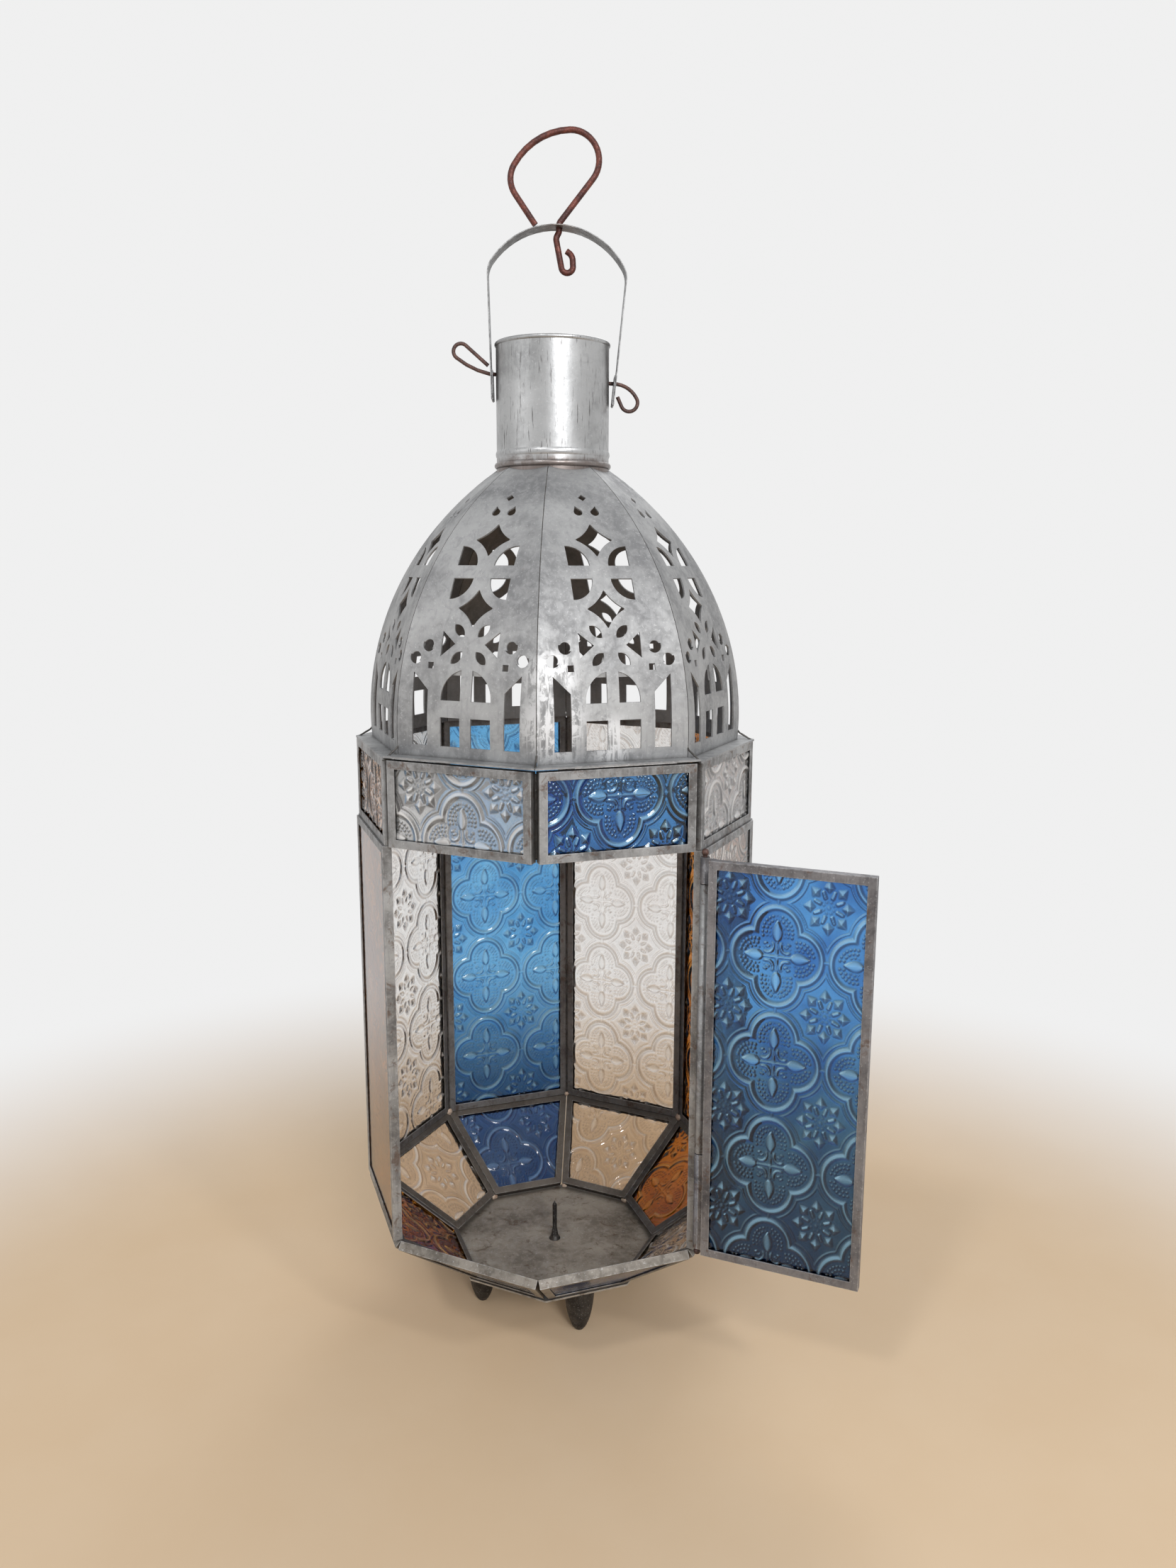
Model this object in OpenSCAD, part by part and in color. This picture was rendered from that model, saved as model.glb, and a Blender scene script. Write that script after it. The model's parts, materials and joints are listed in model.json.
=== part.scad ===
// Eight-sided lantern of folded sheet channels, pressed glass and a pierced dome.
// The axis is Z, the table is z = 0, and one corner of the octagon points along -Y.
// Faces are lettered a to h, counter-clockwise from above, and a is to the right of that corner.
// Face a holds the door, and face h is left open beside it.

/* [Body] */
// Radius of the body from its axis to a corner
body_r = 85; // [80:1:95]
// Height of the panes that stand between tray and band
body_h = 164; // [150:1:180]
// How far the band's corners stand inside the body's corners
band_set_in = 1; // [0:0.5:3]
// Height of the band of panes under the dome
band_h = 33.4; // [28:0.2:40]

/* [Tray] */
// Radius of the floor from the axis to a corner
floor_r = 46.7; // [42:0.1:52]
// Thickness of the floor sheet
floor_t = 0.8; // [0.6:0.1:1.5]
// How far the floor sheet reaches past the foot of the tray panes
floor_lip = 0.9; // [0.4:0.1:2]
// Rise of the tray from its floor to the body
tray_h = 32.2; // [26:0.2:38]
// Height of a foot
foot_h = 22; // [16:1:28]
// Radius of a foot under the floor
foot_r = 6.6; // [5:0.1:8]
// Radius of the flat that a foot stands on
foot_tip_r = 1.9; // [1.5:0.1:3]
// Distance of a foot from the axis
foot_place_r = 34; // [28:0.5:36]
// Height of the candle spike
spike_h = 18.5; // [12:0.5:30]
// Radius of the candle spike
spike_r = 1; // [0.8:0.05:1.4]
// Radius of the spike's soldered root
spike_root_r = 2.6; // [2:0.1:4]
// Height of the spike's soldered root
spike_root_h = 5.5; // [3:0.5:8]

/* [Panes] */
// Depth of a folded channel, square to its pane
channel_d = 3.6; // [3.2:0.1:4.4]
// Width of the channel's lip over the pane
channel_w = 3.2; // [2.4:0.1:4]
// Thickness of the channel sheet
sheet = 0.5; // [0.4:0.05:0.6]
// Thickness of the pressed glass
glass_t = 2.4; // [1.8:0.1:2.5]
// Clearance round a pane inside its channel
pane_gap = 0.1; // [0.05:0.05:0.2]
// Gap that the solder fills between neighbouring frames
seam = 0.3; // [0.2:0.05:0.4]

/* [Dome] */
// Radius of the arc that each gore is bent to
gore_bend_r = 124; // [118:1:130]
// Width of the gores' flange over the band
flange_w = 6.5; // [5:0.1:8]
// Height of that arc's centre above the band
gore_centre_h = 9.6; // [8:0.2:11]
// Thickness of the gore sheet
gore_t = 0.7; // [0.5:0.05:0.9]
// Slit left under the flange of the two gores over the doorway
flange_slit = 0.8; // [0.4:0.1:0.9]

/* [Pierced pattern] */
// Half width of the bar between the two arched lights
mullion_half = 2.3; // [1.8:0.1:3]
// Radius of the arch over the lights
arch_r = 10.6; // [9:0.1:11]
// Height of the square lights below the arch
square_light_h = 10.8; // [8:0.1:12]
// Height of the bar between square and arched lights
transom_h = 6.2; // [5:0.1:7]
// Distance from the middle of a gore to a side window
side_window_u = 16.2; // [15:0.1:17]
// Width of a side window
side_window_w = 6.6; // [5:0.1:7]
// Height of a side window at its inner edge
side_window_h = 20.6; // [16:0.1:22]
// Rise of a side window's slanted head
side_window_rise = 6.4; // [4:0.1:8]
// Height of an arched light's springing over its sill
springing_h = 0.8; // [0.4:0.1:2]
// Half diagonal of the two large diamonds
diamond_half = 7.2; // [6:0.1:7.6]
// How far a diamond's sides are drawn in
diamond_sag = 0.7; // [0.4:0.1:1]
// Radius of the four quarter discs
quarter_r = 8.4; // [7:0.1:8.8]
// Distance from the middle of a gore to the quarter discs' straight edge
quarter_u = 12; // [11:0.1:12.4]
// Length of a flower petal
petal_l = 6.4; // [5:0.1:7]
// Width of a flower petal
petal_w = 3.4; // [2.6:0.1:3.8]
// Height of the flower's side triangles
triangle_h = 9.6; // [8:0.1:10]
// Depth of the flower's side triangles
triangle_w = 5.8; // [4:0.1:6]
// Radius of a comma's head
comma_r = 2; // [1.5:0.1:2.4]
// Length of a comma's tail
comma_l = 4.6; // [3.5:0.1:5]
// Side of the small square holes
square_hole = 2.4; // [1.8:0.1:2.8]
// Radius of the two drops
drop_r = 1.7; // [1.3:0.1:2]
// Length of the two drops
drop_l = 4.8; // [3.8:0.1:5.5]
// Distance from the middle of a gore to a drop
drop_u = 3.3; // [2.8:0.1:4]
// Half diagonal of the small diamond at the top
dot_half = 1.7; // [1.2:0.1:2]

/* [Collar] */
// Outer radius of the collar
collar_r = 22.5; // [21:0.5:24]
// Height of the collar above the dome
collar_h = 49; // [44:0.5:60]
// Thickness of the collar sheet
collar_t = 0.8; // [0.6:0.1:1.2]
// How far the collar reaches down inside the dome
collar_sink = 3.5; // [2:0.5:6]
// Radius of the bead that covers the seat of the collar
bead_r = 1.3; // [1:0.1:1.6]
// Radius of the soft swell pressed into the collar above the bead
swell_r = 2.4; // [2:0.1:3]
// How far the swell stands out from the collar
swell_out = 0.4; // [0.2:0.1:0.6]
// Height of the swell above the bead
swell_rise = 4.4; // [4:0.2:8]
// Radius of the rolled edge at the top of the collar
roll_r = 0.9; // [0.7:0.1:1.2]

/* [Bail] */
// Distance from the collar's rolled edge down to the bail pins
pin_drop = 12.5; // [10:0.5:18]
// Turn of the bail's pins about the axis
bail_turn = 4.5; // [0:0.5:15]
// Slope of the bail's pins, down to the right
pin_slope = 4; // [0:0.2:6]
// Lean of the bail to the right, in its own plane
bail_tilt = 2.2; // [0:0.1:3]
// How far the bail has slid to the right on its pins
bail_shift = 0.4; // [0:0.1:1]
// Width of the bail strap
strap_w = 9; // [8:0.5:12]
// Thickness of the bail strap
strap_t = 0.45; // [0.4:0.05:0.8]
// Length of strap below the pin
strap_tail = 9; // [7:0.5:12]
// Length of the strap's end that is folded back inside
strap_fold = 11; // [10:0.5:14]
// Clearance between the folded end and the collar
bail_side_gap = 0.85; // [0.7:0.05:1.2]
// Outward lean of the bail's legs
bail_lean = 3.6; // [3:0.1:5]
// Height of the top of the bail above its pins
bail_h = 56.9; // [50:0.5:62]
// Radius of the bail's crown
bail_crown_r = 31; // [29:0.5:34]
// Radius of the bail's two shoulders
bail_shoulder_r = 9; // [7:0.5:11]
// Radius of the wire of the bail pins
pin_r = 0.75; // [0.6:0.05:1]
// Running clearance of the bail on its pins
pin_fit = 0.08; // [0.05:0.01:0.1]
// Clearance between the strap and the bend of a pin's eye
eye_gap = 0.7; // [0.6:0.1:1.5]
// Radius of the round end of the left pin's eye
left_eye_r = 3; // [2.6:0.1:4]
// Radius of the slow bend that carries the left pin up to its eye
left_sweep_r = 32; // [28:1:40]
// Radius of the round end of the right pin's eye
right_eye_r = 3.4; // [2.6:0.1:4]
// Radius of the slow bend that carries the right pin down to its eye
right_sweep_r = 10.5; // [10:0.5:14]

/* [Hook] */
// Radius of the hook wire
wire_r = 1.2; // [1:0.05:1.4]
// Running clearance of the hook in the strap
wire_fit = 0.1; // [0.05:0.01:0.1]
// Distance of the hook from the middle of the strap
hook_x = 2.7; // [0:0.1:4]
// Length of wire between the strap and the loop's first bend
loop_leg = 20; // [18:0.2:26]
// Radius of the loop's right bend
loop_right_r = 10.8; // [9:0.2:12]
// Radius of the loop's crown
loop_crown_r = 26.5; // [24:0.5:29]
// Radius of the loop's left bend
loop_left_r = 9.6; // [8:0.2:11]
// Length of wire that comes back to the strap
loop_return = 13.6; // [12:0.2:14]
// Length of the straight wire under the strap
hook_shank = 10.2; // [7:0.2:12]
// Radius of the small hook under the strap
hook_r = 2.3; // [2:0.1:3.4]

/* [Door] */
// Angle at which the door stands open
door_open = 137.5; // [0:0.5:210]
// Clearance above the door
door_head_gap = 1.5; // [1:0.1:2.5]
// Clearance below the door
door_foot_gap = 3.5; // [1:0.1:4]
// Clearance between the door's edge and the post
door_side_gap = 0.6; // [0.4:0.1:1]
// Outer radius of the hinge barrels
barrel_r = 1.8; // [1.6:0.05:2.1]
// Radius of the hinge wire
hinge_wire_r = 0.9; // [0.8:0.05:1]
// Running clearance of the door's barrels on the wire
hinge_fit = 0.06; // [0.04:0.01:0.1]
// Length of the door's lower barrel
low_barrel_h = 40; // [30:1:50]
// Length of the door's upper knuckle
top_knuckle_h = 10; // [8:1:14]
// Clearance between barrels, end to end
barrel_gap = 0.4; // [0.3:0.1:0.6]
// Thickness of the hinge leaves
leaf_t = 0.5; // [0.4:0.05:0.6]
// Radius of the bead at each end of the hinge wire
wire_bead_r = 1.4; // [1.2:0.05:1.6]

/* [Hidden] */

$fn = 96;

// How far every cut runs past the solid that it opens
overrun = 1;

// The octagon: angle of one side, and half of it
sides = 8;
side_turn = 360 / sides;
half_turn = side_turn / 2;

// Distances from the axis to the middle of a side
body_a = body_r * cos(half_turn);
band_r = body_r - band_set_in;
band_a = band_r * cos(half_turn);
floor_a = floor_r * cos(half_turn);

// Levels, from the table upwards
floor_z = foot_h + floor_t;
body_z = floor_z + tray_h;
band_z = body_z + body_h;
dome_z = band_z + band_h;

// Lean of the tray panes, which makes their inner top edge meet the body
tray_run = body_a - floor_a;
upright_lean = atan2(tray_run, tray_h);
tray_lean = atan2(tray_run, tray_h - channel_d * sin(upright_lean));
tray_slope = (tray_h - seam - channel_d * sin(tray_lean)) / cos(tray_lean);
// Angle between two neighbouring tray panes, which their square edges step back from
tray_fold = acos(pow(cos(tray_lean), 2) * cos(side_turn) + pow(sin(tray_lean), 2));
tray_step = channel_d * tan(tray_fold / 2) + seam / 2;
tray_foot_w = 2 * (floor_a * tan(half_turn) - tray_step);
tray_head_w = 2 * ((floor_a + tray_slope * sin(tray_lean)) * tan(half_turn) - tray_step);

// Widths of the upright frames, whose inner edges meet at the corners
body_frame_w = 2 * (body_a - channel_d) * tan(half_turn) - seam;
band_frame_w = 2 * (band_a - channel_d) * tan(half_turn) - seam;

// Arc of a gore, from the band to the collar
gore_foot_a = band_a - flange_w;
gore_foot_angle = asin(-gore_centre_h / gore_bend_r);
// Distance of the arc's centre beyond the axis
gore_centre_back = gore_bend_r * cos(gore_foot_angle) - gore_foot_a;
gore_head_angle = acos((collar_r + gore_centre_back) / gore_bend_r);
gore_arc = gore_bend_r * (gore_head_angle - gore_foot_angle) * PI / 180;
gore_centre_z = dome_z + gore_centre_h;
// Level at which the middle of a gore meets the collar
gore_head_z = gore_centre_z + gore_bend_r * sin(gore_head_angle);
// Gap between the collar and the gores soldered to it
collar_seat_gap = 0.1;

// Places of the pierced rows up a gore, as shares of its arc
lights_share = 0.047;
square_holes_share = 0.288;
outer_commas_share = 0.312;
inner_commas_share = 0.350;
flower_share = 0.354;
low_diamond_share = 0.464;
low_quarters_share = 0.560;
high_quarters_share = 0.603;
high_diamond_share = 0.693;
drops_share = 0.799;
dot_share = 0.860;
// Places of the commas and square holes across a gore, as shares of the outer side window edge
inner_comma_across_share = 0.76;
outer_comma_across_share = 0.98;
square_hole_across_share = 0.69;
// Distance of the petals' middles from the flower's middle, as a share of their length
petal_reach_share = 1.12;
// Share of a diamond's side that is drawn in
drawn_side_share = 0.9;
// Middle and radius of the discs that draw in the triangles' sides, as shares of depth and height
triangle_hollow_across_share = 1.28;
triangle_hollow_up_share = 1.02;
triangle_hollow_r_share = 0.78;
// Place of the disc that thins a comma's tail, as shares of the head's radius
comma_hollow_across_share = 0.75;
comma_hollow_up_share = 0.6;
// Half widths of a drop's shoulders and tip, and the height of its shoulders, as shares of its radius
drop_shoulder_share = 0.96;
drop_shoulder_up_share = 0.3;
drop_tip_share = 0.4;
// Waist of the spike's root, as shares of the root's radius and height
root_waist_share = 0.62;
root_waist_up_share = 0.3;

// The collar and the bail
bead_z = gore_head_z + 2 * bead_r;
collar_top_z = gore_head_z + collar_h;
pin_z = collar_top_z - pin_drop;
// Gap between the two layers of the strap's folded end
fold_gap = 0.1;
bail_skew = abs(bail_shift - strap_tail * sin(bail_tilt));
strap_foot_x = collar_r + bail_side_gap + bail_skew + 2 * strap_t + fold_gap;
strap_foot = [strap_foot_x - strap_t / 2, -strap_tail];
leg_along = [sin(bail_lean), cos(bail_lean)];
leg_inward = [-cos(bail_lean), sin(bail_lean)];
// Centre of a shoulder: one shoulder radius in from the leg, and inside the crown's circle
crown_r = bail_crown_r - strap_t / 2;
crown_centre = [0, bail_h - bail_crown_r];
shoulder_start = strap_foot + leg_inward * bail_shoulder_r - crown_centre;
shoulder_along = shoulder_start * leg_along;
shoulder_rest = shoulder_start * shoulder_start - pow(crown_r - bail_shoulder_r, 2);
leg_l = sqrt(pow(shoulder_along, 2) - shoulder_rest) - shoulder_along;
shoulder_centre = strap_foot + leg_inward * bail_shoulder_r + leg_along * leg_l;
shoulder_turn = atan2(shoulder_centre[1] - crown_centre[1], shoulder_centre[0]);
// Distance from the axis to the outside of the strap at the pin
strap_out = strap_foot_x + strap_tail * tan(bail_lean);

// Bends of the two pins' eyes, and the wire that comes back to the strap
inner_end_heading = 120;
left_heading = 8;
left_sweep_turn = 26;
left_eye_turn = 183;
left_eye_return = 11.5;
right_heading = -4;
right_sweep_turn = -54;
right_eye_turn = -184;
right_eye_return = 3.9;

// The hook hangs in the crown of the strap
crown_x = bail_shift * cos(bail_tilt) + crown_centre[1] * sin(bail_tilt);
crown_z = pin_z - bail_shift * sin(bail_tilt) + crown_centre[1] * cos(bail_tilt);
strap_top_z = crown_z + sqrt(pow(bail_crown_r, 2) - pow(hook_x - crown_x, 2));
hook_clear = 0.5;
hook_top_z = strap_top_z + hook_clear;
hook_low_z = strap_top_z - strap_t - 2 * hook_clear;
// Turns of the hook wire, bend by bend, as the loop is formed
loop_first_turn = 39;
loop_right_turn = 131;
loop_crown_turn = 57;
loop_left_turn = 66;
hook_set_turn = 28;
hook_slant_turn = 11;
hook_bend_turn = 172;
hook_curl_turn = 52;

// The hinge stands outside the corner between faces a and b, on the two faces' planes
hinge_r = (body_a + barrel_r) / cos(half_turn);
hinge_angle = -90 + side_turn;
hinge_x = hinge_r * cos(hinge_angle);
hinge_y = hinge_r * sin(hinge_angle);
// Place of the hinge along either face, from the middle of that face
hinge_along = hinge_r * sin(half_turn);
door_w = body_frame_w - door_side_gap;
door_h = body_h - door_foot_gap - door_head_gap;
door_z = body_z + door_foot_gap;
// How far a leaf laps over the channel that carries it
leaf_lap = channel_w - sheet;
// Step back of a leaf's end from the foot of its barrel
leaf_step = barrel_r / 4;
post_barrel_z = door_z + low_barrel_h + barrel_gap;
post_barrel_h = door_h - low_barrel_h - top_knuckle_h - 2 * barrel_gap;
top_knuckle_z = post_barrel_z + post_barrel_h + barrel_gap;

metal = [0.55, 0.55, 0.54];
dull_metal = [0.42, 0.40, 0.37];
dark_wire = [0.25, 0.17, 0.15];
rusty_wire = [0.42, 0.24, 0.20];
blue_glass = [0.06, 0.25, 0.55, 0.8];
amber_glass = [0.70, 0.33, 0.06, 0.8];
clear_glass = [0.85, 0.84, 0.78, 0.6];

// Glass of each face: blue at the door and behind it, amber at the sides, clear between
function glass_color(face) =
    face % 4 == 0 ? blue_glass : face % 4 == 2 ? amber_glass : clear_glass;

// Outline of a pane, narrower at its foot or not, drawn in by a border
function panel_outline(foot_w, head_w, h, border) =
    let (
        slant = atan2(head_w - foot_w, 2 * h),
        side = border / cos(slant),
        shift = border * tan(slant),
        foot_half = foot_w / 2 + shift - side,
        head_half = head_w / 2 - shift - side
    )
    [[-foot_half, border], [foot_half, border], [head_half, h - border], [-head_half, h - border]];

// Points of an arc
function arc_points(centre, r, from, to, steps) =
    [for (i = [0 : steps]) centre + r * [cos(from + (to - from) * i / steps), sin(from + (to - from) * i / steps)]];

// A bent wire as a list of bends, each a straight length, a radius and a turn to the left
function bend_end(start, bend) =
    let (
        heading = start[2],
        side = bend[2] < 0 ? -1 : 1,
        x = start[0] + bend[0] * cos(heading),
        y = start[1] + bend[0] * sin(heading),
        turned = heading + bend[2]
    )
    [
        x + side * bend[1] * (sin(turned) - sin(heading)),
        y - side * bend[1] * (cos(turned) - cos(heading)),
        turned
    ];

// Places and headings along one bend, every few degrees
bend_step = 9;
function bend_places(start, bend) =
    let (
        straight = [start[0] + bend[0] * cos(start[2]), start[1] + bend[0] * sin(start[2]), start[2]],
        steps = max(1, ceil(abs(bend[2]) / bend_step))
    )
    [
        if (bend[0] > 0) start,
        for (i = [0 : steps - 1]) bend_end(straight, [0, bend[1], bend[2] * i / steps])
    ];

function wire_places(start, bends, i = 0) =
    i == len(bends) ? [start] :
    concat(bend_places(start, bends[i]), wire_places(bend_end(start, bends[i]), bends, i + 1));

// Stands a flat shape on a face: x runs along the face, y up it and z out of it
module on_face(face, apothem, z, lean = 0) {
    rotate([0, 0, half_turn + side_turn * face])
        translate([0, -apothem, z])
            rotate([90 + lean, 0, 0])
                children();
}

// A picture frame of folded channel, its outside at z = 0
module channel_frame(foot_w, head_w, h) {
    difference() {
        translate([0, 0, -channel_d])
            linear_extrude(channel_d)
                polygon(panel_outline(foot_w, head_w, h, 0));
        translate([0, 0, -channel_d - overrun])
            linear_extrude(channel_d + 2 * overrun)
                polygon(panel_outline(foot_w, head_w, h, channel_w));
        translate([0, 0, sheet - channel_d])
            linear_extrude(channel_d - 2 * sheet)
                polygon(panel_outline(foot_w, head_w, h, sheet));
    }
}

// The pane that sits in such a frame
module pane(foot_w, head_w, h) {
    translate([0, 0, -(channel_d + glass_t) / 2])
        linear_extrude(glass_t)
            polygon(panel_outline(foot_w, head_w, h, sheet + pane_gap));
}

// A round wire bent in the plane of x and z
module bent_wire(start, bends, r, around = 14) {
    places = wire_places(start, bends);
    rings = len(places);
    points = [
        for (p = places)
            for (k = [0 : around - 1])
                let (reach = r * cos(360 * k / around))
                [p[0] - reach * sin(p[2]), r * sin(360 * k / around), p[1] + reach * cos(p[2])]
    ];
    walls = [
        for (i = [0 : rings - 2])
            for (k = [0 : around - 1])
                let (
                    a = i * around + k,
                    b = i * around + (k + 1) % around
                )
                each [[a, b, b + around], [a, b + around, a + around]]
    ];
    first_end = [for (k = [0 : around - 1]) around - 1 - k];
    last_end = [for (k = [0 : around - 1]) (rings - 1) * around + k];
    polyhedron(points, concat([first_end], walls, [last_end]));
}

module tray_side(face) {
    on_face(face, floor_a, floor_z + seam / 2, tray_lean) children();
}

module tray_frames() {
    color(dull_metal)
        for (face = [0 : sides - 1])
            tray_side(face) channel_frame(tray_foot_w, tray_head_w, tray_slope);
}

module tray_glass(face) {
    color(glass_color(face))
        tray_side(face) pane(tray_foot_w, tray_head_w, tray_slope);
}

module body_frame(face) {
    color(metal)
        on_face(face, body_a, body_z) channel_frame(body_frame_w, body_frame_w, body_h);
}

module body_glass(face) {
    color(glass_color(face))
        on_face(face, body_a, body_z) pane(body_frame_w, body_frame_w, body_h);
}

module band_frame(face) {
    color(metal)
        on_face(face, band_a, band_z) channel_frame(band_frame_w, band_frame_w, band_h);
}

module band_glass(face) {
    color(glass_color(face))
        on_face(face, band_a, band_z) pane(band_frame_w, band_frame_w, band_h);
}

module floor_plate() {
    color(dull_metal)
        translate([0, 0, foot_h])
            cylinder(h = floor_t, r = floor_r + floor_lip, $fn = sides);
}

module candle_spike() {
    color(dull_metal)
        translate([0, 0, floor_z])
            rotate_extrude()
                polygon([
                    [0, 0],
                    [spike_root_r, 0],
                    [spike_root_r * root_waist_share, spike_root_h * root_waist_up_share],
                    [spike_r, spike_root_h],
                    [spike_r, spike_h - 2 * spike_r],
                    [0, spike_h]
                ]);
}

// A bud of pressed sheet, rounded to the small flat that it stands on
module foot() {
    tip_angle = acos(foot_tip_r / foot_r);
    bulge = [
        for (i = [0 : 10])
            let (a = tip_angle * i / 10)
            [foot_r * cos(a), foot_h * (1 - sin(a) / sin(tip_angle))]
    ];
    rotate_extrude()
        polygon(concat([[0, foot_h]], bulge, [[0, 0]]));
}

module feet() {
    color(dull_metal)
        for (face = [0 : 2 : sides - 1])
            rotate([0, 0, half_turn + side_turn * face])
                translate([0, -foot_place_r, 0])
                    foot();
}

// Stands a flat cutter on a gore, at a share of its arc, square to the sheet there
module on_gore(share) {
    angle = gore_foot_angle + share * (gore_head_angle - gore_foot_angle);
    translate([
        0,
        gore_centre_back - gore_bend_r * cos(angle),
        gore_centre_z + gore_bend_r * sin(angle)
    ])
        rotate([90 - angle, 0, 0])
            translate([0, 0, -5 * gore_t])
                linear_extrude(10 * gore_t)
                    children();
}

module both_sides() {
    children();
    mirror([1, 0]) children();
}

// A diamond with its four sides drawn in, all but the tips
module drawn_diamond(half, sag) {
    side_l = half * sqrt(2);
    hollow_r = pow(side_l * drawn_side_share, 2) / (8 * sag) + sag / 2;
    difference() {
        circle(r = half, $fn = 4);
        for (turn = [45 : 90 : 315])
            rotate(turn)
                translate([side_l / 2 - sag + hollow_r, 0])
                    circle(r = hollow_r);
    }
}

// One half of a twin window: a square light, and over it half of an arch on short straight jambs
module arched_lights() {
    springing = square_light_h + transom_h;
    light_w = arch_r - mullion_half;
    translate([mullion_half, 0])
        square([light_w, square_light_h]);
    translate([mullion_half, springing])
        square([light_w, springing_h]);
    intersection() {
        translate([mullion_half, springing + springing_h / 2])
            square([light_w, arch_r + springing_h]);
        translate([0, springing + springing_h])
            circle(r = arch_r);
    }
}

module side_window() {
    translate([side_window_u, 0])
        polygon([
            [0, 0],
            [side_window_w, 0],
            [side_window_w, side_window_h + side_window_rise],
            [0, side_window_h]
        ]);
}

// A petal is the lens where two discs overlap
module petal() {
    disc_r = (pow(petal_l, 2) + pow(petal_w, 2)) / (4 * petal_w);
    intersection() {
        translate([0, disc_r - petal_w / 2]) circle(r = disc_r);
        translate([0, petal_w / 2 - disc_r]) circle(r = disc_r);
    }
}

module flower_petals() {
    for (turn = [45, -45])
        rotate(turn)
            translate([petal_l * petal_reach_share, 0])
                petal();
}

// A triangle with its upright edge outside and its two slanted sides drawn in
module flower_triangle() {
    hollow_u = triangle_w * triangle_hollow_across_share;
    hollow_v = triangle_h * triangle_hollow_up_share;
    translate([quarter_u, 0])
        difference() {
            polygon([[0, -triangle_h / 2], [0, triangle_h / 2], [-triangle_w, 0]]);
            for (side = [-1, 1])
                translate([-hollow_u, side * hollow_v])
                    circle(r = triangle_h * triangle_hollow_r_share);
        }
}

// A round head with a tail that thins out towards the middle of the gore
module comma() {
    union() {
        circle(r = comma_r);
        difference() {
            circle(r = comma_l - comma_r);
            translate([-comma_r * comma_hollow_across_share, comma_r * comma_hollow_up_share])
                circle(r = comma_l - comma_r);
            translate([-comma_l, comma_r / 2]) square(2 * comma_l);
        }
    }
}

module drop() {
    shoulder = drop_r * drop_shoulder_share;
    shoulder_up = drop_r * drop_shoulder_up_share;
    union() {
        circle(r = drop_r);
        polygon([[-shoulder, shoulder_up], [shoulder, shoulder_up], [drop_r * drop_tip_share, drop_l - drop_r]]);
    }
}

// Every hole of one gore
module gore_piercing() {
    window_edge = side_window_u + side_window_w;
    on_gore(lights_share) both_sides() {
        arched_lights();
        side_window();
    }
    on_gore(square_holes_share) both_sides()
        translate([window_edge * square_hole_across_share, 0])
            square(square_hole, center = true);
    on_gore(outer_commas_share) both_sides()
        translate([window_edge * outer_comma_across_share, 0]) comma();
    on_gore(inner_commas_share) both_sides()
        translate([window_edge * inner_comma_across_share, 0]) comma();
    on_gore(flower_share) both_sides() {
        flower_petals();
        flower_triangle();
    }
    on_gore(low_diamond_share) drawn_diamond(diamond_half, diamond_sag);
    on_gore(low_quarters_share) both_sides()
        intersection() {
            translate([quarter_u, 0]) circle(r = quarter_r);
            translate([quarter_u - quarter_r, -quarter_r]) square(quarter_r);
        }
    on_gore(high_quarters_share) both_sides()
        intersection() {
            translate([quarter_u, 0]) circle(r = quarter_r);
            translate([quarter_u - quarter_r, 0]) square(quarter_r);
        }
    on_gore(high_diamond_share) drawn_diamond(diamond_half, diamond_sag);
    on_gore(drops_share) both_sides()
        translate([drop_u, 0]) drop();
    on_gore(dot_share) circle(r = dot_half, $fn = 4);
}

// Sheet bent to an arc, pierced, and turned outwards along its foot
module gore(face, slit = 0) {
    wedge_l = band_a;
    wedge_back = seam / 2 / sin(half_turn);
    foot_z = dome_z + slit;
    color(metal)
        rotate([0, 0, half_turn + side_turn * face])
            difference() {
                intersection() {
                    translate([0, -wedge_back, foot_z])
                        linear_extrude(gore_head_z - dome_z + 2 * bead_r)
                            polygon([
                                [0, 0],
                                [-(wedge_l - wedge_back) * tan(half_turn), wedge_back - wedge_l],
                                [(wedge_l - wedge_back) * tan(half_turn), wedge_back - wedge_l]
                            ]);
                    union() {
                        translate([0, gore_centre_back, gore_centre_z])
                            rotate([0, 90, 0])
                                difference() {
                                    cylinder(h = 2 * band_r, r = gore_bend_r, center = true);
                                    cylinder(h = 3 * band_r, r = gore_bend_r - gore_t, center = true);
                                }
                        translate([-band_r, -band_a - overrun, foot_z])
                            cube([2 * band_r, flange_w + overrun + gore_t, gore_t]);
                    }
                }
                cylinder(h = collar_top_z, r = collar_r + collar_seat_gap);
                gore_piercing();
            }
}

module collar() {
    color(metal)
        difference() {
            rotate_extrude() {
                translate([collar_r - collar_t, gore_head_z - collar_sink])
                    square([collar_t, collar_h + collar_sink]);
                translate([collar_r - collar_t / 2, bead_z]) circle(r = bead_r, $fn = 32);
                intersection() {
                    translate([collar_r + swell_out - swell_r, bead_z + swell_rise]) circle(r = swell_r);
                    translate([collar_r - collar_t, bead_z + swell_rise - swell_r])
                        square([collar_t + swell_out, 2 * swell_r]);
                }
                translate([collar_r - collar_t / 2, collar_top_z]) circle(r = roll_r, $fn = 32);
            }
            at_pins()
                rotate([0, 90, 0])
                    cylinder(h = 3 * collar_r, r = pin_r + pin_fit, center = true);
        }
}

// Turns a shape from the plane of the bail into place
module at_bail() {
    translate([0, 0, pin_z])
        rotate([0, 0, bail_turn])
            children();
}

// Turns a shape from the X axis onto the line of the two pins
module at_pins() {
    at_bail()
        rotate([0, pin_slope, 0])
            children();
}

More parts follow.
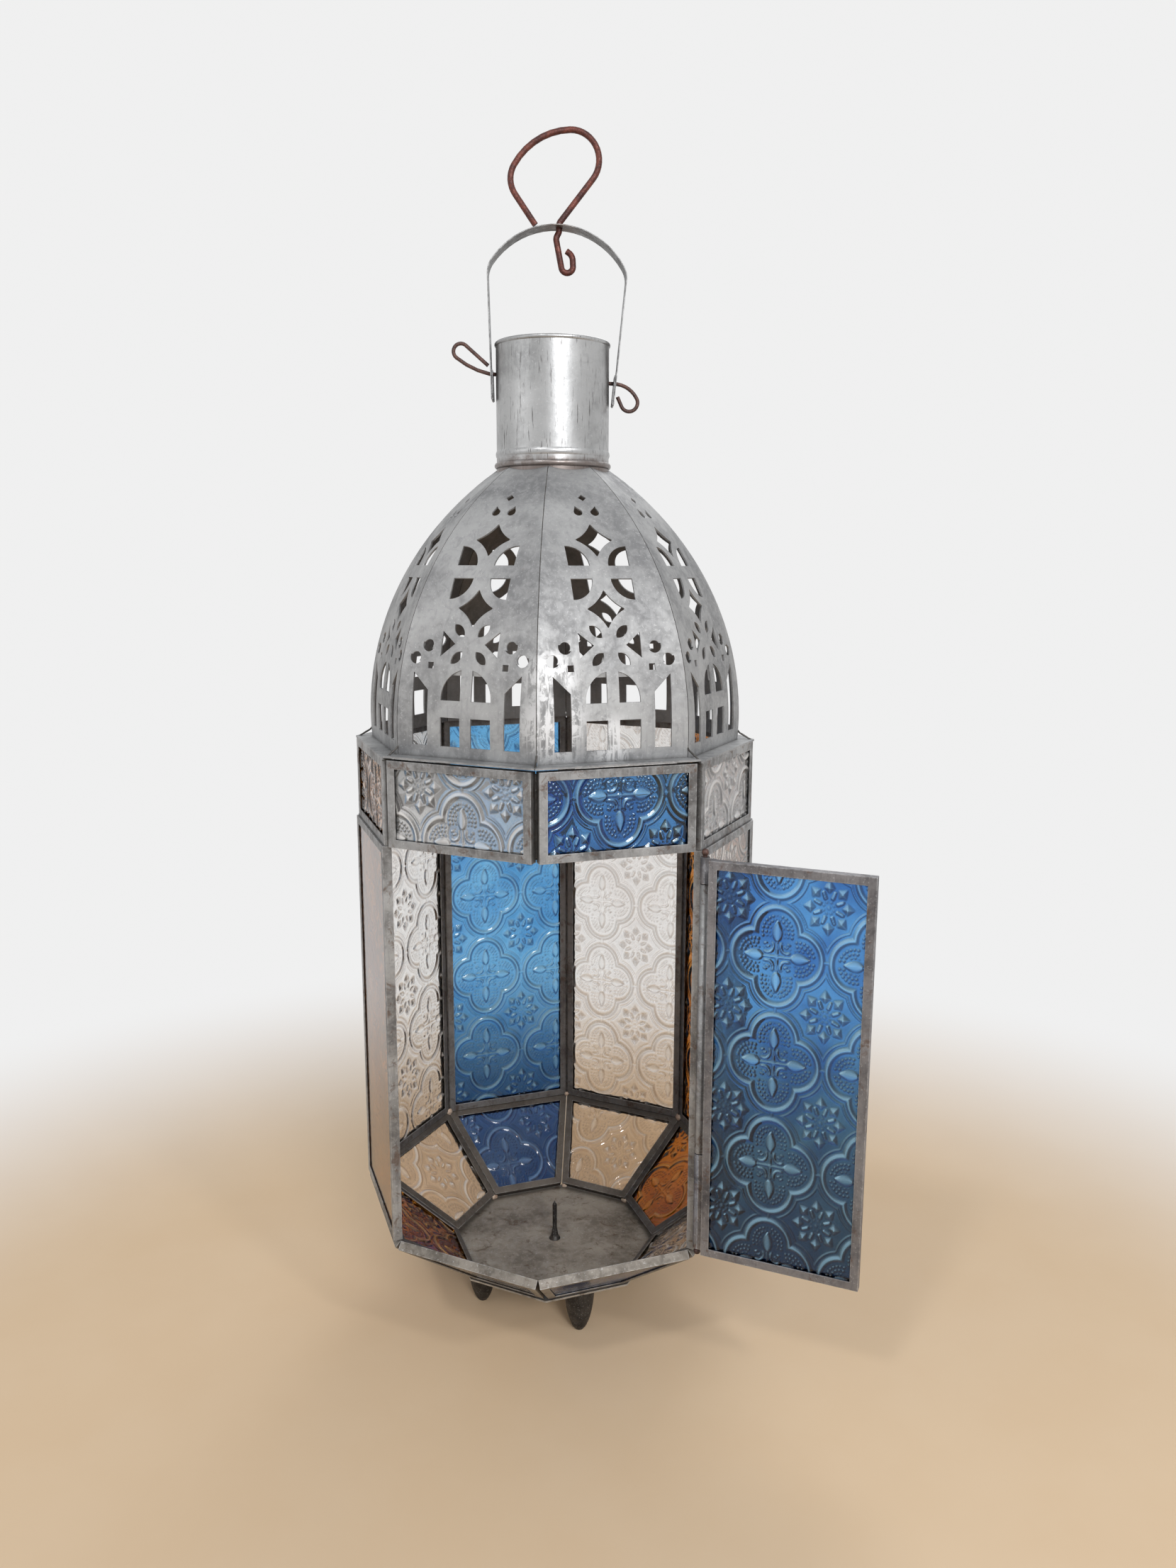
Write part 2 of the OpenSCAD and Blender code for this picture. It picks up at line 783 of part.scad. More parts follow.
// Half of the strap's centre line, from the inner end of its fold to the crown
fold_r = (strap_t + fold_gap) / 2;
fold_centre = strap_foot + leg_inward * fold_r;
function strap_side(offset) =
    concat(
        [fold_centre + leg_inward * (fold_r - offset) + leg_along * strap_fold],
        arc_points(fold_centre, fold_r - offset, 180 - bail_lean, 360 - bail_lean, 8),
        arc_points(shoulder_centre, bail_shoulder_r - offset, -bail_lean, shoulder_turn, 12),
        arc_points(crown_centre, crown_r - offset, shoulder_turn, 90, 10)
    );
function mirrored(points) = [for (i = [len(points) - 2 : -1 : 0]) [-points[i][0], points[i][1]]];

module bail() {
    outer = strap_side(-strap_t / 2);
    inner = strap_side(strap_t / 2);
    ring = concat(outer, mirrored(outer));
    core = concat(inner, mirrored(inner));
    color(metal)
        at_bail()
            difference() {
                rotate([0, bail_tilt, 0])
                    translate([bail_shift, 0, 0])
                        rotate([90, 0, 0])
                            linear_extrude(strap_w, center = true)
                                polygon(concat(ring, [for (i = [len(core) - 1 : -1 : 0]) core[i]]));
                rotate([0, 90 + pin_slope, 0])
                    cylinder(h = 3 * bail_crown_r, r = pin_r + pin_fit, center = true);
                translate([hook_x, 0, 0])
                    cylinder(h = 2 * bail_h, r = wire_r + wire_fit);
            }
}

// A pin through strap and collar: a drop-shaped eye outside, and its end bent over inside
module bail_pin(slide, heading, sweep_r, sweep_turn, eye_r, eye_turn, eye_return) {
    shank_in = collar_r - collar_t - 2 * pin_r;
    shank_out = strap_out + slide + eye_gap;
    color(dark_wire) {
        translate([shank_in, 0, 0])
            rotate([0, 90, 0])
                cylinder(h = shank_out - shank_in, r = pin_r);
        bent_wire(
            [shank_out - pin_r / 4, 0, heading],
            [[0, sweep_r, sweep_turn], [0, eye_r, eye_turn], [eye_return, 0, 0]],
            pin_r
        );
        bent_wire([shank_in + pin_r / 2, -pin_r / 4, inner_end_heading], [[4 * pin_r, 0, 0]], pin_r);
    }
}

module bail_pin_right() {
    at_pins()
        bail_pin(
            bail_shift, right_heading,
            right_sweep_r, right_sweep_turn, right_eye_r, right_eye_turn, right_eye_return
        );
}

module bail_pin_left() {
    at_pins()
        mirror([1, 0, 0])
            bail_pin(
                -bail_shift, left_heading,
                left_sweep_r, left_sweep_turn, left_eye_r, left_eye_turn, left_eye_return
            );
}

// Rusty wire: a wide loop over the strap, and a small hook under it
module hanging_hook() {
    color(rusty_wire)
        rotate([0, 0, bail_turn])
            translate([hook_x, 0, 0]) {
                translate([0, 0, hook_low_z])
                    cylinder(h = hook_top_z - hook_low_z, r = wire_r);
                bent_wire(
                    [0, hook_top_z - hook_clear / 4, 90],
                    [
                        [0, 2 * wire_r, -loop_first_turn],
                        [loop_leg, loop_right_r, loop_right_turn],
                        [0, loop_crown_r, loop_crown_turn],
                        [0, loop_left_r, loop_left_turn],
                        [loop_return, 0, 0]
                    ],
                    wire_r
                );
                bent_wire(
                    [0, hook_low_z + hook_clear / 4, -90],
                    [
                        [0, 2 * wire_r, -hook_set_turn],
                        [wire_r, 2 * wire_r, hook_set_turn + hook_slant_turn],
                        [hook_shank, hook_r, hook_bend_turn],
                        [hook_r, 1.5 * hook_r, hook_curl_turn],
                        [wire_r, 0, 0]
                    ],
                    wire_r
                );
            }
}

// Turns a shape from the closed doorway to the angle at which the door stands open
module at_door() {
    translate([hinge_x, hinge_y, 0])
        rotate([0, 0, door_open])
            translate([-hinge_x, -hinge_y, 0])
                children();
}

// A hinge barrel rolled from a leaf that lies on a face; side is the end of that face
module barrel(face, side, z, h) {
    leaf_end = body_frame_w / 2 - leaf_lap;
    difference() {
        union() {
            translate([hinge_x, hinge_y, z]) cylinder(h = h, r = barrel_r);
            rotate([0, 0, half_turn + side_turn * face])
                translate([side > 0 ? leaf_end : leaf_step - hinge_along, -body_a - leaf_t, z])
                    cube([hinge_along - leaf_step - leaf_end, leaf_t, h]);
        }
        translate([hinge_x, hinge_y, z - overrun])
            cylinder(h = h + 2 * overrun, r = hinge_wire_r + hinge_fit);
    }
}

module hinge_wire() {
    color(dark_wire)
        translate([hinge_x, hinge_y, 0]) {
            translate([0, 0, door_z - barrel_gap - wire_bead_r])
                cylinder(h = door_h + 2 * (barrel_gap + wire_bead_r), r = hinge_wire_r);
            for (end_z = [door_z - barrel_gap - wire_bead_r, door_z + door_h + barrel_gap + wire_bead_r])
                translate([0, 0, end_z])
                    sphere(r = wire_bead_r, $fn = 32);
        }
}

module post_barrel() {
    color(metal) barrel(1, -1, post_barrel_z, post_barrel_h);
}

module door_barrels() {
    color(metal)
        at_door() {
            barrel(0, 1, door_z, low_barrel_h);
            barrel(0, 1, top_knuckle_z, top_knuckle_h);
        }
}

module door_frame() {
    color(metal)
        at_door()
            on_face(0, body_a, door_z)
                translate([-door_side_gap / 2, 0, 0])
                    channel_frame(door_w, door_w, door_h);
}

module door_glass() {
    color(blue_glass)
        at_door()
            on_face(0, body_a, door_z)
                translate([-door_side_gap / 2, 0, 0])
                    pane(door_w, door_w, door_h);
}

floor_plate();
candle_spike();
feet();
tray_frames();
tray_glass(0);  // tray_glass_a
tray_glass(1);  // tray_glass_b
tray_glass(2);  // tray_glass_c
tray_glass(3);  // tray_glass_d
tray_glass(4);  // tray_glass_e
tray_glass(5);  // tray_glass_f
tray_glass(6);  // tray_glass_g
tray_glass(7);  // tray_glass_h
body_frame(1);  // body_frame_b
body_frame(2);  // body_frame_c
body_frame(3);  // body_frame_d
body_frame(4);  // body_frame_e
body_frame(5);  // body_frame_f
body_frame(6);  // body_frame_g
body_glass(1);  // body_glass_b
body_glass(2);  // body_glass_c
body_glass(3);  // body_glass_d
body_glass(4);  // body_glass_e
body_glass(5);  // body_glass_f
body_glass(6);  // body_glass_g
band_frame(0);  // band_frame_a
band_frame(1);  // band_frame_b
band_frame(2);  // band_frame_c
band_frame(3);  // band_frame_d
band_frame(4);  // band_frame_e
band_frame(5);  // band_frame_f
band_frame(6);  // band_frame_g
band_frame(7);  // band_frame_h
band_glass(0);  // band_glass_a
band_glass(1);  // band_glass_b
band_glass(2);  // band_glass_c
band_glass(3);  // band_glass_d
band_glass(4);  // band_glass_e
band_glass(5);  // band_glass_f
band_glass(6);  // band_glass_g
band_glass(7);  // band_glass_h
gore(0, flange_slit);  // gore_a
gore(1);  // gore_b
gore(2);  // gore_c
gore(3);  // gore_d
gore(4);  // gore_e
gore(5);  // gore_f
gore(6);  // gore_g
gore(7, flange_slit);  // gore_h
collar();
hinge_wire();
post_barrel();
door_barrels();
door_frame();
door_glass();
bail();
bail_pin_left();
bail_pin_right();
hanging_hook();
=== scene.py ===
import json
import math

import bmesh
import bpy
import numpy as np
from mathutils import Matrix, Vector, noise

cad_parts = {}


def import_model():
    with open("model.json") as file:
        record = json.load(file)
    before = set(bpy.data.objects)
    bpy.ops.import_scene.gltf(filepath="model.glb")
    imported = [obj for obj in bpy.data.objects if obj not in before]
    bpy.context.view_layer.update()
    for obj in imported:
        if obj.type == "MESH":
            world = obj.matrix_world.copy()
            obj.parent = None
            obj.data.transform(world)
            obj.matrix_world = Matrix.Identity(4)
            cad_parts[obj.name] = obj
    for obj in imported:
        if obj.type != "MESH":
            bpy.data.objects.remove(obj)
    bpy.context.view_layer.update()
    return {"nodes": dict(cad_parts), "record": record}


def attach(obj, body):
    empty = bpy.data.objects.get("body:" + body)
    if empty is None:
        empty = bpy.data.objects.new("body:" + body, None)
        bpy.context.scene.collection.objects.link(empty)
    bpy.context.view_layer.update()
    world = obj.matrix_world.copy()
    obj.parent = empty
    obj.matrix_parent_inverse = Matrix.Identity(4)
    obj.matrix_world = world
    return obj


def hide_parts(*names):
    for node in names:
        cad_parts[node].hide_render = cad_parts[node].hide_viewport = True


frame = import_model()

# Units, and the nodes of the solids with their bodies and material slots
MM = 0.001
FACES = "abcdefgh"
NODES = frame["nodes"]
BODIES = frame["record"]["behaviour"]["bodies"]
BODY_OF = {node: body for body, nodes in BODIES.items() for node in nodes}
SLOT_OF = {part["node"]: part["material_slot"] for part in frame["record"]["subparts"]}

# Place, angles in degrees and lens of the camera that took the photograph
CAMERA_PLACE = Vector((38.94, -492.55, 324.04)) * MM
CAMERA_YAW = -2.83
CAMERA_PITCH = 10.43
CAMERA_ROLL = 0.16
CAMERA_LENS = 27.21
SENSOR = 36

# Brightness of the white backdrop, and of the even light on the object
BACKDROP = 0.87
EVEN_LIGHT = 0.42

# Lamps: place, width and power. They point at the lantern's middle.
LAMP_AIM = Vector((0, 0, 0.25))
LAMPS = {
    "window": ((0.48, -1.25, 0.8), 0.46, 10.0),
    "fill": ((-1.1, -0.7, 0.7), 0.9, 1.5),
    "back": ((0.2, 0.9, 1.2), 0.8, 4.0),
    "glint_left": ((-0.35, -0.9, 1.2), 0.14, 3.0),
    "glint_right": ((0.7, -0.8, 1.0), 0.12, 2.2),
}


def placed(name, data):
    """A new object in the scene."""
    made = bpy.data.objects.new(name, data)
    bpy.context.scene.collection.objects.link(made)
    return made


# Shader nodes

class Shading:
    """Adds nodes to one node tree."""

    def __init__(self, tree):
        self.tree = tree

    def node(self, kind, inputs=None, **settings):
        made = self.tree.nodes.new(kind)
        for key, value in settings.items():
            setattr(made, key, value)
        for key, value in (inputs or {}).items():
            self.feed(made.inputs[key], value)
        return made

    def feed(self, socket, value):
        """Links a socket to another, or sets its value."""
        if isinstance(value, bpy.types.NodeSocket):
            self.tree.links.new(value, socket)
        else:
            socket.default_value = value

    def maths(self, how, first, second):
        return self.node("ShaderNodeMath", {0: first, 1: second}, operation=how).outputs[0]

    def band(self, value, span, at_end=1.0, at_start=0.0):
        """At_start where value is at the start of the span, at_end at its end, and smooth between."""
        start, end = span
        inputs = {"Value": value, "From Min": start, "From Max": end, "To Min": at_start, "To Max": at_end}
        made = self.node("ShaderNodeMapRange", inputs, interpolation_type="SMOOTHSTEP")
        return made.outputs["Result"]

    def looks_back(self):
        """1 for the rays of camera, gloss and glass, which show the backdrop, and 0 for light."""
        rays = self.node("ShaderNodeLightPath").outputs
        seen = self.maths("MAXIMUM", rays["Is Camera Ray"], rays["Is Glossy Ray"])
        return self.maths("MAXIMUM", seen, rays["Is Transmission Ray"])


# Share of a patch's reach that it covers in full
FULL_PATCH = 0.3


class Paint(Shading):
    """The nodes of one material. Places are in metres, in the object's own frame."""

    def __init__(self, name):
        self.material = bpy.data.materials.new(name)
        self.material.use_nodes = True
        super().__init__(self.material.node_tree)
        self.shader = self.tree.nodes["Principled BSDF"]
        where = self.node("ShaderNodeTexCoord")
        self.place, self.skin = where.outputs["Object"], where.outputs["Normal"]

    def vector(self, how, first, second=(0, 0, 0)):
        """A vector, or a number for a distance or dot product."""
        made = self.node("ShaderNodeVectorMath", {0: first, 1: second}, operation=how)
        return made.outputs["Value" if how in ("DISTANCE", "DOT_PRODUCT") else "Vector"]

    def level(self):
        """Height in the object's own frame."""
        return self.node("ShaderNodeSeparateXYZ", {0: self.place}).outputs["Z"]

    def near(self, place, reach, most=1.0):
        """Most round a place, and 0 further away than reach."""
        away = self.vector("DISTANCE", self.place, place)
        return self.band(away, (reach, reach * FULL_PATCH), most)

    def noise(self, size, detail=3.0, rough=0.55, warp=0.0, per_metre=None):
        """Cloudy noise with marks about size metres across, or with so many per metre on each axis."""
        place = self.vector("MULTIPLY", self.place, per_metre) if per_metre else self.place
        inputs = {"Vector": place, "Scale": 1 / size, "Detail": detail, "Roughness": rough}
        inputs["Distortion"] = warp
        return self.node("ShaderNodeTexNoise", inputs).outputs["Fac"]

    def mix(self, share, first, second):
        """First where share is 0 and second where it is 1."""
        made = self.node("ShaderNodeMix", data_type="RGBA")
        for name, value in (("Factor_Float", share), ("A_Color", first), ("B_Color", second)):
            socket = next(s for s in made.inputs if s.identifier == name)
            self.feed(socket, value)
        return next(s for s in made.outputs if s.identifier == "Result_Color")

    def crevice(self, reach):
        """1 in the open and 0 in corners closer than reach."""
        return self.node("ShaderNodeAmbientOcclusion", {"Distance": reach}, samples=6).outputs["AO"]

    def edge(self, reach):
        """1 along sharp edges and 0 on flat places."""
        rounded = self.node("ShaderNodeBevel", {"Radius": reach}, samples=4).outputs[0]
        flat = self.node("ShaderNodeNewGeometry").outputs["Normal"]
        return self.band(self.vector("DOT_PRODUCT", rounded, flat), (0.99, 0.86))

    def relief(self, height, depth, strength, under=None):
        """Bumps of a depth in metres, on top of the bumps under them."""
        inputs = {"Height": height, "Distance": depth, "Strength": strength}
        if under is not None:
            inputs["Normal"] = under
        return self.node("ShaderNodeBump", inputs).outputs["Normal"]

    def finish(self, **sockets):
        for name, value in sockets.items():
            self.feed(self.shader.inputs[name.replace("_", " ")], value)
        return self.material


def colour(red, green, blue):
    """A colour given as the eye reads it, 0 to 255, for a shader."""
    return tuple((value / 255) ** 2.2 for value in (red, green, blue)) + (1.0,)


# Sheet metal: sizes of its marks, brush marks and scratches per metre, its own tones, and the tones of its
# painted shade

CLOUD = 24 * MM
MOTTLE = 3.2 * MM
FLECK = 0.9 * MM
RUST_SPOT = 7 * MM
RUST_FADE = 0.12
DENT = 13 * MM
DENT_DEPTH = 0.6 * MM
GRAIN_DEPTH = 0.1 * MM
BRUSH_MARKS = (620, 620, 42)
SCRATCHES = (1500, 1500, 90)
DEPOSIT_EDGE = 7 * MM
WORN_EDGE_HIGHLIGHT_REACH = 0.45 * MM
BRIGHT = colour(208, 209, 211)
SCRATCH = colour(92, 90, 90)
INSIDE_DARK = colour(64, 56, 50)
STAIN = colour(92, 72, 60)
SHEET_GRIME_AND_SHADE = (0.028, 0.022, 0.018, 1)


def bare_sheet(paint, dark, light, brush, mottle, streaks):
    """Clouds, mottling, brush marks and small bright flecks."""
    clouds = paint.noise(CLOUD, detail=4, rough=0.55, warp=0.3)
    base = paint.mix(paint.band(clouds, (0.3, 0.7)), dark, light)
    base = paint.mix(paint.band(mottle, (0.42, 0.66), 0.4), base, light)
    base = paint.mix(paint.band(mottle, (0.46, 0.3), 0.35), base, dark)
    base = paint.mix(paint.band(streaks, (0.52, 0.68), brush), base, light)
    base = paint.mix(paint.band(streaks, (0.46, 0.32), brush), base, dark)
    flecks = paint.noise(FLECK, detail=3, rough=0.6)
    return paint.mix(paint.band(flecks, (0.6, 0.7), 0.3), base, BRIGHT)


def rusted(paint, base, stain, stain_from):
    """Brown stains where the noise passes stain_from."""
    spots = paint.noise(RUST_SPOT, detail=6, rough=0.75, warp=0.8)
    return paint.mix(paint.band(spots, (stain_from, stain_from + RUST_FADE), 0.7), base, stain)


def worn(paint, base, places, mottle, streaks):
    """Bright worn places, broken up by mottling and brush marks."""
    flecks = paint.maths("MAXIMUM", paint.band(streaks, (0.44, 0.56)), paint.band(mottle, (0.45, 0.58)))
    for place, reach in places:
        patch = paint.maths("MULTIPLY", paint.near(place, reach), flecks)
        base = paint.mix(patch, base, BRIGHT)
    return base


def stained(paint, base, places, stain, mottle):
    """Brown patches with a mottled edge."""
    for place, reach in places:
        patch = paint.maths("MULTIPLY", paint.near(place, reach, 0.8), paint.band(mottle, (0.3, 0.5)))
        base = paint.mix(patch, base, stain)
    return base


def scratched(paint, base, share):
    """Thin dark scratches up the sheet."""
    lines = paint.noise(1, detail=3, rough=0.7, per_metre=SCRATCHES)
    return paint.mix(paint.band(lines, (0.6, 0.66), share), base, SCRATCH)


def crusted(paint, base, deposit, mottle):
    """A brown deposit at the foot, which ends in a ragged line below its head."""
    foot, head, brown = deposit
    ragged = paint.maths("ADD", paint.level(), paint.maths("MULTIPLY", mottle, DEPOSIT_EDGE))
    return paint.mix(paint.band(ragged, (head, foot), 0.75), base, brown)


def darkened_inside(paint, base, inside_darkening, mottle):
    """Darker, in patches, on the sides that face the lantern's axis."""
    outward = paint.vector("NORMALIZE", paint.vector("MULTIPLY", paint.place, (1, 1, 0)))
    facing = paint.vector("DOT_PRODUCT", paint.skin, outward)
    patchy = paint.band(mottle, (0.2, 0.5), inside_darkening, inside_darkening * 0.7)
    inside = paint.maths("MULTIPLY", paint.band(facing, (-0.1, -0.5)), patchy)
    return paint.mix(inside, base, INSIDE_DARK)


def edge_wear_and_highlight(paint, base, worn_edge_highlight, mottle):
    """Edges made bright in patches: wear, and a painted highlight."""
    patchy = paint.band(mottle, (0.36, 0.6), worn_edge_highlight, 0.1)
    return paint.mix(paint.maths("MULTIPLY", paint.edge(WORN_EDGE_HIGHLIGHT_REACH), patchy), base, BRIGHT)


def sheet_metal(
    name, dark, light, stain, stain_from, rough=(0.42, 0.62), metal=0.6, brush=0.25, scratch=0.0,
    crevice=4 * MM, worn_places=(), stained_places=(), deposit=None, inside_darkening=0.0, worn_edge_highlight=0.75,
):
    """Old tinned or galvanised sheet: its marks, edges bright from wear and painted highlight, and painted
    corner shade, laid over each other.
    """
    paint = Paint(name)
    mottle = paint.noise(MOTTLE, detail=4, rough=0.65, warp=0.5)
    streaks = paint.noise(1, detail=4, rough=0.65, per_metre=BRUSH_MARKS)
    base = bare_sheet(paint, dark, light, brush, mottle, streaks)
    base = rusted(paint, base, stain, stain_from)
    if worn_places:
        base = worn(paint, base, worn_places, mottle, streaks)
    if stained_places:
        base = stained(paint, base, stained_places, stain, mottle)
    if scratch:
        base = scratched(paint, base, scratch)
    if deposit:
        base = crusted(paint, base, deposit, mottle)
    if inside_darkening:
        base = darkened_inside(paint, base, inside_darkening, mottle)
    if worn_edge_highlight:
        base = edge_wear_and_highlight(paint, base, worn_edge_highlight, mottle)
    # Grime with painted shade in the corners
    base = paint.mix(paint.band(paint.crevice(crevice), (0.75, 0.3), 0.75), base, SHEET_GRIME_AND_SHADE)
    smooth, dull = rough
    shine = paint.band(mottle, (0.3, 0.7), smooth, dull)
    dents = paint.relief(paint.noise(DENT, detail=1), DENT_DEPTH, 0.4)
    grain = paint.relief(mottle, GRAIN_DEPTH, 0.4, dents)
    return paint.finish(Base_Color=base, Metallic=metal, Roughness=shine, Normal=grain)


# Wire and solder: sizes of their marks

WIRE_CLOUD = 5 * MM
BUMP = 0.7 * MM
BUMP_DEPTH = 0.18 * MM
WIRE_METAL = 0.3


def old_wire(name, dark, light, worn_tone):
    """Cloudy wire or solder, worn to another tone where its bumps stand out."""
    paint = Paint(name)
    clouds = paint.noise(WIRE_CLOUD, detail=5, rough=0.65, warp=0.6)
    bumps = paint.noise(BUMP, detail=3)
    base = paint.mix(paint.band(clouds, (0.35, 0.66)), dark, light)
    base = paint.mix(paint.band(bumps, (0.56, 0.72), 0.7), base, worn_tone)
    grain = paint.relief(bumps, BUMP_DEPTH, 0.8)
    shine = paint.band(bumps, (0.3, 0.7), 0.62, 0.38)
    return paint.finish(Base_Color=base, Metallic=WIRE_METAL, Roughness=shine, Normal=grain)


# Pressed glass: sizes of its marks, and the attributes that its panes carry

GLASS_CLOUD = 26 * MM
FOOT_SHADE_EDGE = 30 * MM
SPECK = 1.6 * MM
SMEAR = 14 * MM
GLASS_CREVICE = 2.2 * MM
RIPPLE = 2.4 * MM
RIPPLE_DEPTH = 0.16 * MM
GLASS_IOR = 1.48
GLASS_GRIME_AND_SHADE = colour(30, 26, 23)
SLOPE_SHADE = "slope"
HEIGHT_AND_HIGHLIGHT = "height"


def tinted(paint, thin, deep, shaded_foot):
    """The glass's own tone, and a painted shade over its foot, with a ragged head."""
    clouds = paint.noise(GLASS_CLOUD, detail=3)
    base = paint.mix(paint.band(clouds, (0.35, 0.65)), thin, deep)
    if shaded_foot:
        foot, head, foot_shade = shaded_foot
        ragged = paint.maths("ADD", paint.level(), paint.maths("MULTIPLY", clouds, FOOT_SHADE_EDGE))
        base = paint.mix(paint.band(ragged, (head, foot), 0.9), base, foot_shade)
    return base


def pressed_glass(
    name, thin, deep, crest_highlight, shade, dirt, shade_share=0.9, haze=0.04, clear=0.96, shaded_foot=None,
):
    """Glass with a painted highlight on the crests of its relief, which are also less clear, painted shade
    on its slopes, and soil.
    """
    paint = Paint(name)
    base = tinted(paint, thin, deep, shaded_foot)
    height = paint.node("ShaderNodeAttribute", attribute_name=HEIGHT_AND_HIGHLIGHT).outputs["Fac"]
    # Painted highlight on the crests, and on slopes that face up
    base = paint.mix(paint.band(height, (0.16, 0.8), 0.85), base, crest_highlight)
    slope = paint.node("ShaderNodeAttribute", attribute_name=SLOPE_SHADE).outputs["Fac"]
    # Painted shade on the slopes
    base = paint.mix(paint.band(slope, (0.08, 0.6), shade_share), base, shade)
    specks = paint.noise(SPECK, detail=5, rough=0.8)
    smears = paint.noise(SMEAR, detail=5, rough=0.7, warp=1.0)
    soil = paint.maths("MULTIPLY", paint.band(specks, (0.6, 0.7)), paint.band(smears, (0.54, 0.7)))
    base = paint.mix(soil, base, dirt)
    # Grime with painted shade in the corners
    corners = paint.band(paint.crevice(GLASS_CREVICE), (0.72, 0.4))
    grime_and_shade = paint.maths("MULTIPLY", corners, paint.band(specks, (0.3, 0.55), 0.95, 0.4))
    base = paint.mix(grime_and_shade, base, GLASS_GRIME_AND_SHADE)
    ripples = paint.relief(paint.noise(RIPPLE, detail=2), RIPPLE_DEPTH, 0.3)
    rough = paint.maths("ADD", paint.maths("MULTIPLY", soil, 0.3), haze)
    frosted = paint.band(height, (0.3, 0.95), clear * 0.55, clear)
    return paint.finish(
        Base_Color=base, Transmission_Weight=frosted, IOR=GLASS_IOR, Roughness=rough, Normal=ripples,
    )


# The materials

HOOK_RUST = (
    (Vector((2.7, 0.2, 452)) * MM, 10 * MM),
)
DOME_WORN = (
    (Vector((6, -72, 268)) * MM, 17 * MM),
    (Vector((5, -71, 285)) * MM, 13 * MM),
    (Vector((26, -64, 262)) * MM, 12 * MM),
)
SHEETS = {
    "channel_sheet": dict(
        dark=colour(96, 95, 95), light=colour(160, 161, 162), stain=STAIN, stain_from=0.53,
        brush=0.35, inside_darkening=0.42,
    ),
    "door_sheet": dict(
        dark=colour(78, 77, 80), light=colour(132, 131, 134), stain=STAIN, stain_from=0.54, brush=0.3,
    ),
    "bright_sheet": dict(
        dark=colour(142, 143, 144), light=colour(176, 177, 178), stain=colour(118, 98, 88), stain_from=0.7,
        rough=(0.3, 0.42), metal=0.8, brush=0.15, scratch=0.8, crevice=2 * MM,
        deposit=(366 * MM, 371 * MM, colour(96, 80, 72)), worn_edge_highlight=0.0,
    ),
    "dome_sheet": dict(
        dark=colour(122, 123, 125), light=colour(164, 165, 166), stain=colour(104, 92, 84), stain_from=0.65,
        rough=(0.48, 0.64), metal=0.55, crevice=2.5 * MM, worn_places=DOME_WORN, inside_darkening=0.4, worn_edge_highlight=0.0,
    ),
    "dull_sheet": dict(
        dark=colour(92, 87, 81), light=colour(138, 132, 124), stain=colour(74, 58, 46), stain_from=0.58,
        rough=(0.45, 0.65), metal=0.5, inside_darkening=0.5,
    ),
    "floor_sheet": dict(
        dark=colour(112, 104, 94), light=colour(164, 156, 144), stain=colour(84, 64, 48), stain_from=0.55,
        rough=(0.5, 0.7), metal=0.15, brush=0.0, crevice=14 * MM,
    ),
    "strap_sheet": dict(
        dark=colour(96, 96, 97), light=colour(140, 141, 142), stain=STAIN, stain_from=0.62,
        stained_places=HOOK_RUST,
    ),
}
# Dark, light and worn tones
WIRES = {
    "seam_solder": (colour(46, 44, 42), colour(84, 81, 78), colour(128, 125, 121)),
    "bead_solder": (colour(176, 148, 128), colour(214, 196, 178), colour(232, 222, 208)),
    "foot_sheet": (colour(32, 30, 29), colour(60, 57, 54), colour(120, 118, 116)),
    "dark_wire": (colour(58, 44, 42), colour(92, 68, 62), colour(124, 92, 80)),
    "rusty_wire": (colour(62, 33, 30), colour(108, 60, 50), colour(46, 30, 29)),
}
# In each glass, the crest tone is a painted highlight, the shade tone painted shade, and the tone over the
# foot painted shade
GLASSES = {
    "blue_glass": dict(
        thin=colour(120, 190, 238), deep=colour(90, 162, 222), crest_highlight=colour(160, 212, 242),
        shade=colour(10, 34, 78), dirt=colour(150, 168, 184),
        shaded_foot=(56 * MM, 160 * MM, colour(40, 76, 142)),
    ),
    # A darker copy of the blue glass: painted shade
    "shaded_blue_glass": dict(
        thin=colour(84, 156, 222), deep=colour(48, 112, 188), crest_highlight=colour(166, 216, 246),
        shade=colour(6, 20, 54), dirt=colour(130, 150, 170),
        shaded_foot=(56 * MM, 190 * MM, colour(34, 62, 104)),
    ),
    # Another darker copy of the blue glass: painted shade
    "shaded_tray_blue_glass": dict(
        thin=colour(92, 132, 206), deep=colour(66, 106, 184), crest_highlight=colour(150, 190, 236),
        shade=colour(14, 26, 60), dirt=colour(130, 150, 170), haze=0.12,
    ),
    "amber_glass": dict(
        thin=colour(206, 130, 44), deep=colour(168, 94, 24), crest_highlight=colour(240, 184, 104),
        shade=colour(26, 10, 4), dirt=colour(150, 110, 74), shade_share=1.0,
    ),
    "clear_glass": dict(
        thin=colour(254, 253, 251), deep=colour(250, 247, 244), crest_highlight=colour(255, 255, 253),
        shade=colour(136, 114, 96), dirt=colour(204, 190, 174), shade_share=0.75, haze=0.08, clear=0.97,
        shaded_foot=(50 * MM, 130 * MM, colour(242, 224, 204)),
    ),
    "band_clear_glass": dict(
        thin=colour(240, 242, 244), deep=colour(226, 229, 231), crest_highlight=colour(255, 255, 255),
        shade=colour(92, 88, 86), dirt=colour(186, 176, 164), shade_share=0.8, haze=0.12, clear=0.8,
    ),
}
MATERIALS = {name: sheet_metal(name, **look) for name, look in SHEETS.items()}
MATERIALS.update({name: old_wire(name, *tones) for name, tones in WIRES.items()})
MATERIALS.update({name: pressed_glass(name, **look) for name, look in GLASSES.items()})

